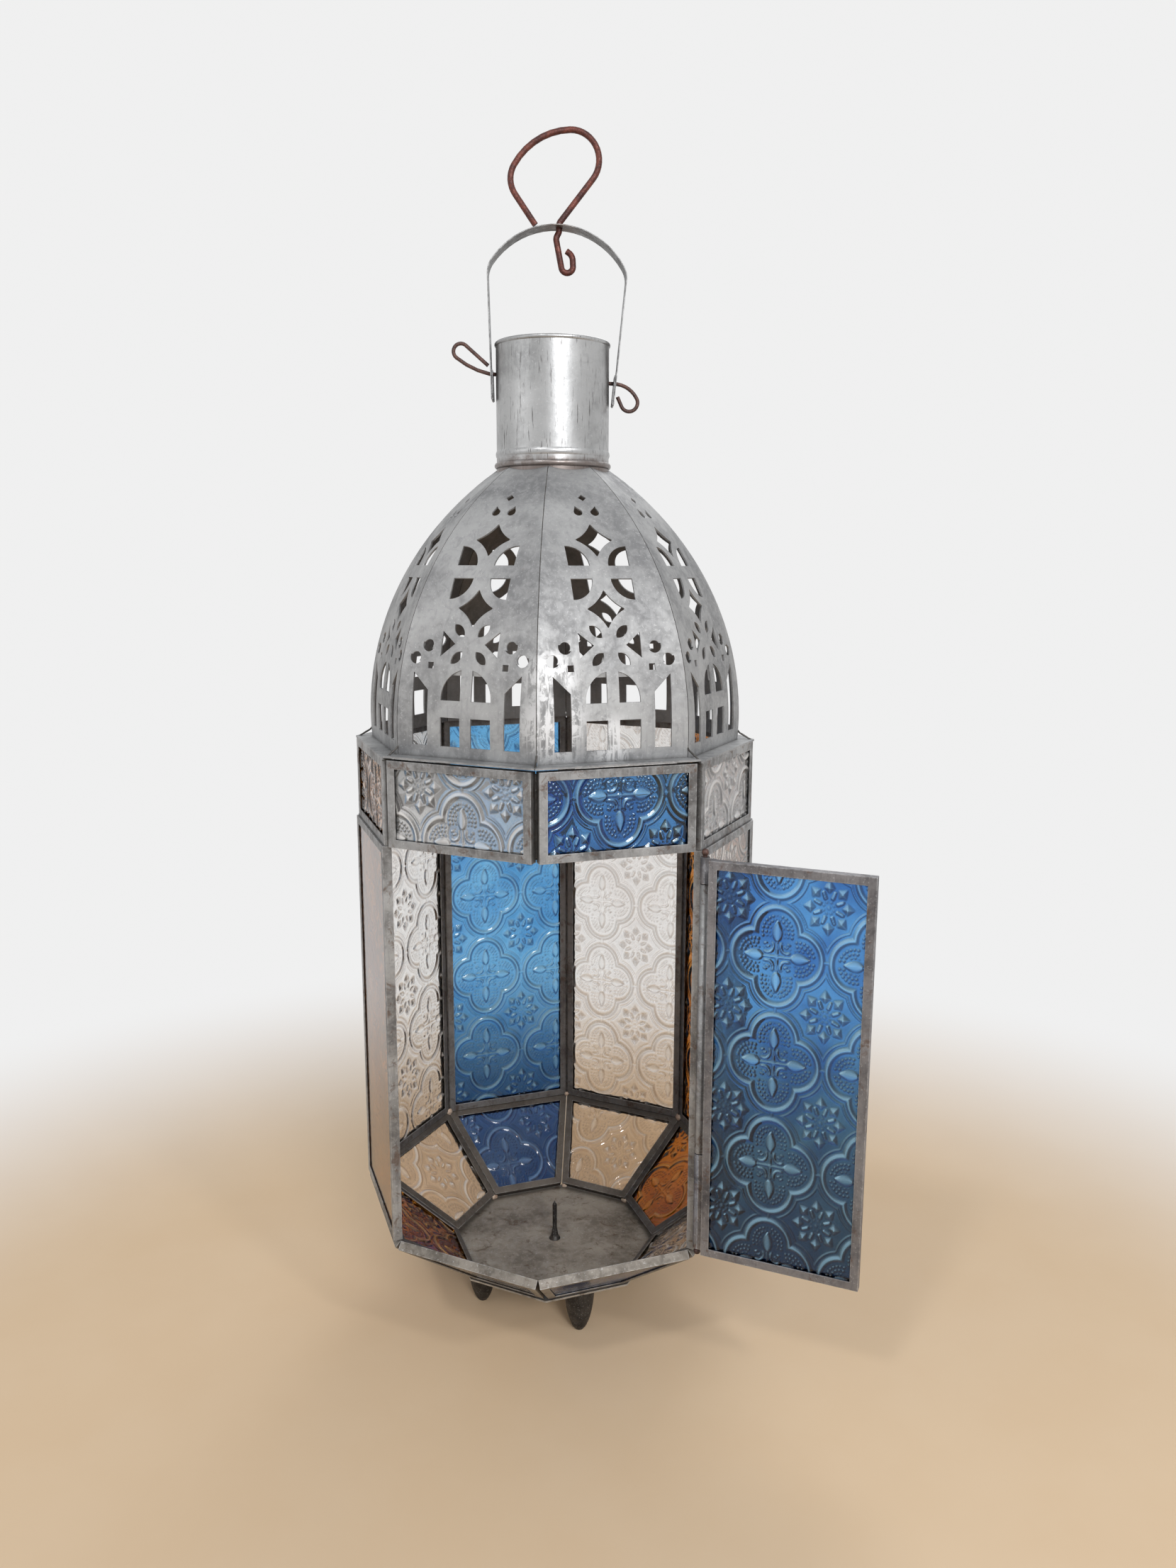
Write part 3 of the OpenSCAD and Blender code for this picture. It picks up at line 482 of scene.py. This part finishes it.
# Nodes whose finish differs from the rest of their slot
OWN_FINISH = {
    "floor_plate": "floor_sheet",
    "candle_spike": "foot_sheet",
    "feet": "foot_sheet",
    "door_frame": "door_sheet",
    "door_barrels": "door_sheet",
    "bail": "strap_sheet",
    # The door's glass and band pane a take a darker copy of the blue glass: painted shade
    "door_glass": "shaded_blue_glass",
    "band_glass_a": "shaded_blue_glass",
}
OWN_FINISH.update({"band_glass_" + face: "band_clear_glass" for face in "bfh"})
# Tray panes a and e take another darker copy of the blue glass: painted shade
OWN_FINISH.update({"tray_glass_" + face: "shaded_tray_blue_glass" for face in "ae"})


def finish_of(node):
    return MATERIALS[OWN_FINISH.get(node, SLOT_OF[node])]


# The pressed pattern: quatrefoils with flowers between them, in millimetres. A rise is a ridge's height.

CELL_W = 36.5
CELL_H = 41.2
LOBE_R = 9.5
LOBE_REACH = 9.2
RIM_RISE, RIM_WIDTH = 0.62, 1.1
LINE_RISE, LINE_WIDTH, LINE_AWAY = 0.32, 0.5, 2.6
LINK_RISE, LINK_WIDTH = 0.34, 0.6
DOT_RISE, DOT_WIDTH, DOT_GAP = 0.44, 0.5, 1.6
LEAF_RISE, LEAF_SIDE, LEAF_ROOT, LEAF_TIP = 0.56, 2.5, 5.2, 14.2
LEAF_FULLNESS = 0.8
STEM_RISE, STEM_WIDTH = 0.44, 0.55
STEM_END = (-6.2, -5.4)
CURL_RISE, CURL_WIDTH, CURL_AT, CURL_R = 0.48, 0.62, 4.1, 2.6
CURL_OPENING = (-0.1, 0.55)
HEART_RISE, HEART_WIDE, HEART_HIGH = 0.4, 1.1, 1.9
BOSS_RISE, BOSS_WIDTH = 0.34, 0.9
BEAD_RISE, BEAD_WIDTH, BEAD_AT = 0.3, 0.55, 2.2
PETAL_RISE, PETAL_WIDTH = 0.5, 0.7
PETAL_START, PETAL_END = (3.0, 3.6), (-7.0, -6.2)
TIP_RISE, TIP_SIDE, TIP_FROM, TIP_WIDEST, TIP_TO = 0.868, 2.9, 4.8, 7.6, 11.0


def bell(distance, width):
    """A smooth ridge: 1 at distance 0, and near 0 past twice its width."""
    return np.exp(-((distance / width) ** 2))


def step_up(value, low, high):
    """0 below low, 1 above high and smooth between."""
    share = np.clip((value - low) / (high - low), 0, 1)
    return share * share * (3 - 2 * share)


def dots_in_rows(outside, x, y):
    """Rows of small dots that follow the outline of each lobe."""
    along_x = np.abs(x) > np.abs(y)
    from_x = np.where(along_x, np.abs(x) - LOBE_REACH, np.abs(x))
    from_y = np.where(along_x, np.abs(y), np.abs(y) - LOBE_REACH)
    row = np.round(-outside / DOT_GAP)
    row_r = np.maximum(LOBE_R - row * DOT_GAP, DOT_GAP)
    count = np.round(2 * np.pi * row_r / DOT_GAP)
    turn = np.arctan2(from_y, from_x) * count / (2 * np.pi)
    aside = (turn - np.round(turn)) * 2 * np.pi * row_r / count
    across = -outside - row * DOT_GAP
    return DOT_RISE * bell(np.hypot(aside, across), DOT_WIDTH) * step_up(-outside, 1.8, 2.6)


def leaf_side(along):
    """Half the width of a leaf at a place along it, and how far that is from its nearer end."""
    share = np.clip((along - LEAF_ROOT) / (LEAF_TIP - LEAF_ROOT), 0, 1)
    return LEAF_SIDE * np.sin(np.pi * share ** LEAF_FULLNESS) + 0.01, np.minimum(share, 1 - share)


def curl(wide, high):
    """Height of the curl between two leaves, and the distance from its middle."""
    curl_x, curl_y = wide - CURL_AT, high - CURL_AT
    away = np.hypot(curl_x, curl_y)
    facing = -(curl_x + curl_y) / (math.sqrt(2) * np.maximum(away, 0.01))
    return CURL_RISE * bell(away - CURL_R, CURL_WIDTH) * step_up(facing, *CURL_OPENING), away


def quatrefoil(x, y):
    """Height of one quatrefoil, with x and y from its middle."""
    wide, high = np.abs(x), np.abs(y)
    along, beside = np.maximum(wide, high), np.minimum(wide, high)
    outside = np.minimum(np.hypot(wide - LOBE_REACH, high), np.hypot(wide, high - LOBE_REACH)) - LOBE_R
    rim = RIM_RISE * bell(outside, RIM_WIDTH)
    line = LINE_RISE * bell(outside - LINE_AWAY, LINE_WIDTH)
    link = LINK_RISE * bell(beside, LINK_WIDTH) * step_up(outside, 0.6, 1.2)
    half, from_end = leaf_side(along)
    leaf = LEAF_RISE * np.clip(1 - (beside / half) ** 2, 0, 1) * step_up(from_end, 0.0, 0.12)
    stem = STEM_RISE * bell(beside, STEM_WIDTH) * step_up(-along, *STEM_END)
    curled, curl_away = curl(wide, high)
    heart = HEART_RISE * np.clip(1 - wide / HEART_WIDE - high / HEART_HIGH, 0, 1)
    bare = step_up(beside - half, 0.2, 0.8) * step_up(np.abs(curl_away - CURL_R), 0.6, 1.1)
    bare = bare * step_up(np.hypot(wide, high), 2.4, 3.4)
    dots = dots_in_rows(outside, x, y) * bare
    return np.maximum.reduce([rim, line, link, leaf, stem, curled, heart, dots])


def flower(x, y):
    """Height of one eight-petalled flower, with x and y from its middle."""
    reach = np.hypot(x, y)
    eighth = math.pi / 4
    turn = np.arctan2(y, x)
    tip_turn = turn - eighth * np.round(turn / eighth)
    petal_turn = turn - eighth * (np.floor(turn / eighth) + 0.5)
    boss = BOSS_RISE * bell(reach, BOSS_WIDTH)
    bead = BEAD_RISE * bell(np.hypot(reach - BEAD_AT, reach * petal_turn), BEAD_WIDTH)
    petal = PETAL_RISE * bell(reach * petal_turn, PETAL_WIDTH)
    petal = petal * step_up(reach, *PETAL_START) * step_up(-reach, *PETAL_END)
    opening = (reach - TIP_FROM) / (TIP_WIDEST - TIP_FROM)
    closing = (TIP_TO - reach) / (TIP_TO - TIP_WIDEST)
    half = np.clip(np.where(reach < TIP_WIDEST, opening, closing), 0, 1) * TIP_SIDE
    tip = TIP_RISE * np.clip(half - np.abs(reach * tip_turn), 0, TIP_SIDE) / TIP_SIDE
    return np.maximum.reduce([boss, bead, petal, tip])


def lattice(u, v):
    """Height of the pressed pattern at u, v from the middle of one quatrefoil."""
    x = (u * (CELL_H / CELL_W) + CELL_H / 2) % CELL_H - CELL_H / 2
    y = (v + CELL_H / 2) % CELL_H - CELL_H / 2
    return np.maximum(quatrefoil(x, y), flower(CELL_H / 2 - np.abs(x), CELL_H / 2 - np.abs(y)))


# Panes with the pattern, in millimetres

# Where a quatrefoil's middle lies on a pane, from the middle of the pane's foot
PATTERN_PLACES = {
    "door_glass": (-4.3, 83.5),
    "band_glass_a": (0.6, 22.6), "band_glass_b": (-13.0, 4.0),
    "band_glass_g": (9.0, 14.0), "band_glass_h": (1.4, 3.3),
    "body_glass_b": (-12.0, 46.0), "body_glass_c": (8.0, 74.0), "body_glass_d": (11.9, 63.6),
    "body_glass_e": (11.0, 68.0), "body_glass_f": (-16.8, 51.0), "body_glass_g": (-6.0, 58.0),
    "tray_glass_c": (1.8, 15.3), "tray_glass_d": (11.6, 0.2),
    "tray_glass_e": (6.5, 13.5), "tray_glass_f": (18.0, 3.4),
}
# Panes whose relief is on the side away from the lantern's axis. The others' faces the candle.
OUTWARD_RELIEF = ("band_glass", "door_glass")
RELIEF_DEPTH = 0.62
GRID_STEP = 0.5
FINE_STEP = 0.36
FINE_PANES = ("door_glass", "band_glass_a", "band_glass_h")
SHARP_ANGLE = 60
# Slope that counts as steepest, and the painted highlight on slopes that face up and a little to one side
STEEPEST = 0.75
HIGHLIGHT_UP = 0.9
HIGHLIGHT_ASIDE = 0.45
HIGHLIGHT_SHARE = 0.7


class Pane:
    """A flat CAD pane: its middle foot, its axes along, up and out of the face, and its size."""

    def __init__(self, node):
        mesh = NODES[node].data
        corners = np.array([v.co[:] for v in mesh.vertices])
        widest = max(mesh.polygons, key=lambda face: face.area)
        out = Vector(widest.normal)
        middle = Vector(corners.mean(0))
        if out.dot(Vector((middle.x, middle.y, 0))) < 0:
            out = -out
        self.out = out.normalized()
        self.up = (Vector((0, 0, 1)) - self.out * self.out.z).normalized()
        self.along = self.up.cross(self.out)
        local = corners @ np.array([self.along, self.up, self.out]).T
        self.foot, head = local[:, 1].min(), local[:, 1].max()
        self.height = head - self.foot
        self.back, self.front = local[:, 2].min(), local[:, 2].max()
        at_foot = local[local[:, 1] < self.foot + MM / 10, 0]
        at_head = local[local[:, 1] > head - MM / 10, 0]
        self.middle = (at_foot.min() + at_foot.max()) / 2
        self.foot_half = (at_foot.max() - at_foot.min()) / 2
        self.head_half = (at_head.max() - at_head.min()) / 2

    def place(self, u, v, w):
        """Points at u along, v up and w out of the face, from the middle of the foot."""
        axes = np.array([self.along, self.up, self.out])
        return np.stack([self.middle + u, self.foot + v, w], axis=-1) @ axes

    def grid(self, step):
        """Places across and up the pane, in rows about step millimetres apart."""
        rows = round(self.height / MM / step)
        columns = round(2 * max(self.foot_half, self.head_half) / MM / step)
        up = np.linspace(0, self.height, rows + 1)[:, None]
        half = self.foot_half + (self.head_half - self.foot_half) * up / self.height
        across = np.linspace(-1, 1, columns + 1)[None, :] * half
        return across, up + np.zeros_like(across)


def slab(rows, columns):
    """Faces of a slab: a grid, a wall round it and one flat back. Also the grid's border, in order."""
    count = columns + 1
    border = [i for i in range(columns)]
    border += [i * count + columns for i in range(rows)]
    border += [rows * count + i for i in range(columns, 0, -1)]
    border += [i * count for i in range(rows, 0, -1)]
    cell = np.arange(rows * count).reshape(rows, count)[:, :-1].ravel()
    faces = np.stack([cell, cell + 1, cell + 1 + count, cell + count], axis=1).tolist()
    first, total = (rows + 1) * count, len(border)
    for i in range(total):
        after = (i + 1) % total
        faces.append([border[after], border[i], first + i, first + after])
    faces.append([first + i for i in range(total - 1, -1, -1)])
    return faces, border


def relief_shade_and_highlight(height, step, side):
    """Painted shade on the relief's slopes, and its height with a painted highlight added on slopes that
    face up and a little to one side. Side is -1 where the relief faces out.
    """
    rise_up, rise_along = np.gradient(height, step)
    lit_slope = np.clip(-(HIGHLIGHT_UP * rise_up + HIGHLIGHT_ASIDE * side * rise_along) / STEEPEST, 0, 1)
    slope = np.clip(np.hypot(rise_up, rise_along) / STEEPEST, 0, 1) * (1 - lit_slope)
    return slope, height + HIGHLIGHT_SHARE * lit_slope


def pressed_pane(node, seed):
    """A slab of glass with the pattern pressed into one side, which stands for its CAD pane."""
    pane = Pane(node)
    outward = node.startswith(OUTWARD_RELIEF)
    step = FINE_STEP if node in FINE_PANES else GRID_STEP
    across, up = pane.grid(step)
    draw = np.random.default_rng(seed)
    drawn_place = (draw.uniform(-CELL_W / 2, CELL_W / 2), draw.uniform(0, CELL_H))
    place = PATTERN_PLACES.get(node, drawn_place)
    height = lattice(across / MM - place[0], up / MM - place[1])
    depth = (RELIEF_DEPTH - height) * MM
    front = pane.place(across, up, pane.front - depth if outward else pane.back + depth)
    flat = pane.place(across, up, np.full_like(across, pane.back if outward else pane.front))
    faces, border = slab(across.shape[0] - 1, across.shape[1] - 1)
    points = np.concatenate([front.reshape(-1, 3), flat.reshape(-1, 3)[border]])
    if not outward:
        faces = [face[::-1] for face in faces]
    mesh = bpy.data.meshes.new("pressed_" + node)
    mesh.from_pydata(points.tolist(), [], faces)
    mesh.polygons.foreach_set("use_smooth", [True] * len(faces))
    mesh.set_sharp_from_angle(angle=math.radians(SHARP_ANGLE))
    on_back = np.zeros(len(border))
    tones = relief_shade_and_highlight(height, step, -1 if outward else 1)
    for name, values in zip((SLOPE_SHADE, HEIGHT_AND_HIGHLIGHT), tones):
        tone = mesh.attributes.new(name, "FLOAT", "POINT")
        tone.data.foreach_set("value", np.concatenate([values.ravel(), on_back]).astype(np.float32))
    mesh.materials.append(finish_of(node))
    piece = placed("pressed_" + node, mesh)
    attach(piece, BODY_OF[node])
    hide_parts(node)


# CAD nodes that stay: sheet and wire, with softened edges

EDGE_WIDTH = 0.12 * MM
EDGE_ANGLE = 28
WELD_REACH = MM / 1000
NORMAL_WEIGHT = 70


def soften(node):
    """Gives a CAD node its material, small round edges and even shading."""
    piece = NODES[node]
    mesh = piece.data
    mesh.materials.clear()
    mesh.materials.append(finish_of(node))
    mesh.polygons.foreach_set("material_index", [0] * len(mesh.polygons))
    mesh.polygons.foreach_set("use_smooth", [True] * len(mesh.polygons))
    if "custom_normal" in mesh.attributes:
        mesh.attributes.remove(mesh.attributes["custom_normal"])
    weld = piece.modifiers.new("weld", "WELD")
    weld.merge_threshold = WELD_REACH
    bevel = piece.modifiers.new("soft_edges", "BEVEL")
    bevel.width = EDGE_WIDTH
    bevel.segments = 2
    bevel.limit_method = "ANGLE"
    bevel.angle_limit = math.radians(EDGE_ANGLE)
    normals = piece.modifiers.new("even_normals", "WEIGHTED_NORMAL")
    normals.weight = NORMAL_WEIGHT


for count, node in enumerate(sorted(NODES)):
    if "glass" in node:
        pressed_pane(node, count)
    else:
        soften(node)


# Solder: dark lines along the seams, and beads at the corners inside

# Corners count from the one between faces h and a. Two of the body's frames meet at each closed one.
CORNERS = range(8)
CLOSED_CORNERS = range(2, 7)
CORNER_TURN = 45
FRONT_CORNER = -90
SOLDER_SEED = 7
SEAM_R = 0.34 * MM
SEAM_UNEVEN = (0.9, 1.2)
SEAM_SIDES = 8
SEAM_STEP = 2 * MM
SEAM_DEPTH = 0.5 * MM
SEAM_RISE = 3 * MM
SEAM_HALF = 1.2 * MM
BEAD_SIZES = (1.0, 1.7)
BEAD_LUMPS = 0.3
BEAD_LUMP_SCALE = 1.3
BEAD_FLATTENED = 0.45
BEAD_INSET = 0.2 * MM
BEAD_CORNER = 4 * MM
FLOOR_BEAD_INSET = 2.2 * MM
FLOOR_BEAD_RISE = 0.9 * MM
FLOOR_BEAD_SHIFT = 2


def corner_way(corner):
    """Directions level out through a corner of the octagon, and square to that."""
    turn = math.radians(FRONT_CORNER + CORNER_TURN * corner)
    return np.array([math.cos(turn), math.sin(turn)]), np.array([-math.sin(turn), math.cos(turn)])


def vertices(nodes):
    return np.array([v.co[:] for node in nodes for v in NODES[node].data.vertices])


def neighbours(kind, corner):
    """The two nodes of a kind that meet at a corner."""
    return [kind + FACES[corner - 1], kind + FACES[corner]]


def seam_path(nodes, corner):
    """The outermost points of two neighbours along their corner, from low to high: reach and level."""
    way, aside = corner_way(corner)
    points = vertices(nodes)
    points = points[np.abs(points[:, :2] @ aside) < SEAM_HALF]
    reach, level = points[:, :2] @ way, points[:, 2]
    path = []
    for low in np.arange(level.min(), level.max() + SEAM_RISE, SEAM_RISE):
        here = (level >= low) & (level < low + SEAM_RISE)
        if here.any():
            top = np.argmax(np.where(here, reach, -1))
            if not path or level[top] > path[-1][1] + MM / 2:
                path.append((reach[top], level[top]))
    return path


def even_steps(path):
    """The path in even steps, a little shorter at both ends, and the way it runs at each."""
    reach, level = np.array(path).T
    along = np.concatenate([[0], np.cumsum(np.hypot(np.diff(reach), np.diff(level)))])
    steps = max(2, round((along[-1] - along[0]) / SEAM_STEP))
    at = np.linspace(along[0] + MM / 2, along[-1] - MM / 2, steps)
    even = np.stack([np.interp(at, along, reach) - SEAM_DEPTH, np.interp(at, along, level)], axis=1)
    rise = np.gradient(even, axis=0)
    return even, rise / np.linalg.norm(rise, axis=1)[:, None]


def tube(path, corner, draw):
    """Points and faces of one uneven run of solder in a seam."""
    way, aside = corner_way(corner)
    even, rise = even_steps(path)
    points = []
    for (r, z), (dr, dz) in zip(even, rise):
        size = SEAM_R * draw.uniform(*SEAM_UNEVEN)
        for side in range(SEAM_SIDES):
            turn = 2 * math.pi * side / SEAM_SIDES
            out, across = size * math.cos(turn), size * math.sin(turn)
            flat = way * (r + out * dz) + aside * across
            points.append((flat[0], flat[1], z - out * dr))
    faces = []
    for ring in range(len(even) - 1):
        for side in range(SEAM_SIDES):
            first = ring * SEAM_SIDES + side
            after = ring * SEAM_SIDES + (side + 1) % SEAM_SIDES
            faces.append([first, after, after + SEAM_SIDES, first + SEAM_SIDES])
    last = (len(even) - 1) * SEAM_SIDES
    faces.append(list(range(SEAM_SIDES - 1, -1, -1)))
    faces.append([last + side for side in range(SEAM_SIDES)])
    return points, faces


def bead(place, way, size, draw):
    """Points and faces of one lump of solder, flattened against the corner that it sits in."""
    made = bmesh.new()
    bmesh.ops.create_icosphere(made, subdivisions=3, radius=1)
    shift = Vector(draw.uniform(0, 50, 3))
    out = Vector((*way, 0))
    for vertex in made.verts:
        lump = 1 + BEAD_LUMPS * noise.noise(vertex.co * BEAD_LUMP_SCALE + shift)
        spread = vertex.co * lump
        spread -= out * spread.dot(out) * BEAD_FLATTENED
        vertex.co = Vector(place) + spread * size
    points = [vertex.co[:] for vertex in made.verts]
    faces = [[vertex.index for vertex in face.verts] for face in made.faces]
    made.free()
    return points, faces


def body_bead(corner, draw):
    """A bead inside the body's foot."""
    way, aside = corner_way(corner)
    frames = vertices(neighbours("body_frame_", corner))
    near = frames[np.abs(frames[:, :2] @ aside) < BEAD_CORNER]
    foot = near[:, 2].min()
    inner = (near[near[:, 2] < foot + MM, :2] @ way).min()
    flat = way * (inner - BEAD_INSET)
    return bead((flat[0], flat[1], foot + BEAD_INSET), way, draw.uniform(*BEAD_SIZES) * MM, draw)


def floor_bead(corner, draw):
    """A bead at the edge of the tray's floor."""
    way, aside = corner_way(corner)
    plate = vertices(["floor_plate"])
    rim = (plate[:, :2] @ way).max() - FLOOR_BEAD_INSET
    flat = way * rim + aside * draw.uniform(-FLOOR_BEAD_SHIFT, FLOOR_BEAD_SHIFT) * MM
    level = plate[:, 2].max() + FLOOR_BEAD_RISE
    return bead((flat[0], flat[1], level), way, draw.uniform(*BEAD_SIZES) * MM, draw)


def joined(name, parts, material):
    """One piece of the lantern from several runs or beads of solder."""
    points, faces = [], []
    for some_points, some_faces in parts:
        faces += [[i + len(points) for i in face] for face in some_faces]
        points += list(some_points)
    mesh = bpy.data.meshes.new(name)
    mesh.from_pydata(points, [], faces)
    check = bmesh.new()
    check.from_mesh(mesh)
    bmesh.ops.recalc_face_normals(check, faces=check.faces)
    check.to_mesh(mesh)
    check.free()
    mesh.polygons.foreach_set("use_smooth", [True] * len(mesh.polygons))
    mesh.materials.append(MATERIALS[material])
    piece = placed(name, mesh)
    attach(piece, "lantern")


def solder():
    draw = np.random.default_rng(SOLDER_SEED)
    seams = {"gore_": CORNERS, "band_frame_": CORNERS, "body_frame_": CLOSED_CORNERS}
    for kind, corners in seams.items():
        runs = [tube(seam_path(neighbours(kind, corner), corner), corner, draw) for corner in corners]
        joined("solder_in_" + kind + "seams", runs, "seam_solder")
    beads = []
    for corner in CLOSED_CORNERS:
        beads.append(body_bead(corner, draw))
        beads.append(floor_bead(corner, draw))
    joined("solder_beads", beads, "bead_solder")


solder()


# Floor, backdrop, light and camera

FLOOR_HALF = 3.0
FLOOR_MIDDLE = (0.02, -0.13, 0)
FLOOR_FADE = (0.26, 0.58)
FLOOR_CLOUD = 60 * MM
FLOOR_TONES = (colour(214, 188, 156), colour(216, 191, 160))


def floor():
    """A pale floor under the lantern and before it that fades into the white of the backdrop."""
    paint = Paint("floor")
    mesh = bpy.data.meshes.new("floor")
    signs = ((-1, -1), (1, -1), (1, 1), (-1, 1))
    mesh.from_pydata([(x * FLOOR_HALF, y * FLOOR_HALF, 0) for x, y in signs], [], [(0, 1, 2, 3)])
    mesh.materials.append(paint.material)
    piece = placed("floor", mesh)
    far = paint.band(paint.vector("DISTANCE", paint.place, FLOOR_MIDDLE), FLOOR_FADE)
    white = paint.node("ShaderNodeEmission", {"Color": (1, 1, 1, 1), "Strength": BACKDROP})
    grain = paint.noise(FLOOR_CLOUD, detail=4)
    tone = paint.mix(paint.band(grain, (0.3, 0.7)), *FLOOR_TONES)
    paint.finish(Base_Color=tone, Roughness=0.6, Specular_IOR_Level=0.2)
    share = paint.maths("MULTIPLY", far, paint.looks_back())
    both = paint.node("ShaderNodeMixShader", {0: share, 1: paint.shader.outputs[0], 2: white.outputs[0]})
    paint.feed(paint.tree.nodes["Material Output"].inputs["Surface"], both.outputs[0])


def world():
    """An even light, and the white backdrop that the camera, metal and glass see."""
    made = bpy.data.worlds.new("studio")
    made.use_nodes = True
    shading = Shading(made.node_tree)
    sky = shading.tree.nodes["Background"]
    shading.feed(sky.inputs["Color"], (1, 1, 1, 1))
    shading.feed(sky.inputs["Strength"], shading.band(shading.looks_back(), (0, 1), BACKDROP, EVEN_LIGHT))
    bpy.context.scene.world = made


def lamp(name, place, size, power):
    light = bpy.data.lights.new(name, "AREA")
    light.shape = "DISK"
    light.size = size
    light.energy = power
    piece = placed(name, light)
    piece.location = place
    piece.rotation_mode = "QUATERNION"
    piece.rotation_quaternion = (LAMP_AIM - Vector(place)).to_track_quat("-Z", "Y")


def camera():
    yaw, pitch, roll = (math.radians(a) for a in (CAMERA_YAW, CAMERA_PITCH, CAMERA_ROLL))
    level = math.cos(pitch)
    forward = Vector((math.sin(yaw) * level, math.cos(yaw) * level, -math.sin(pitch)))
    made = bpy.data.cameras.new("camera")
    made.lens = CAMERA_LENS
    made.sensor_width = SENSOR
    made.sensor_fit = "AUTO"
    piece = placed("camera", made)
    piece.location = CAMERA_PLACE
    piece.rotation_mode = "QUATERNION"
    straight = forward.to_track_quat("-Z", "Y")
    piece.rotation_quaternion = straight @ Matrix.Rotation(roll, 3, "Z").to_quaternion()
    bpy.context.scene.camera = piece


world()
floor()
for name, (place, size, power) in LAMPS.items():
    lamp(name, place, size, power)
camera()

bpy.context.scene.view_settings.view_transform = "Standard"
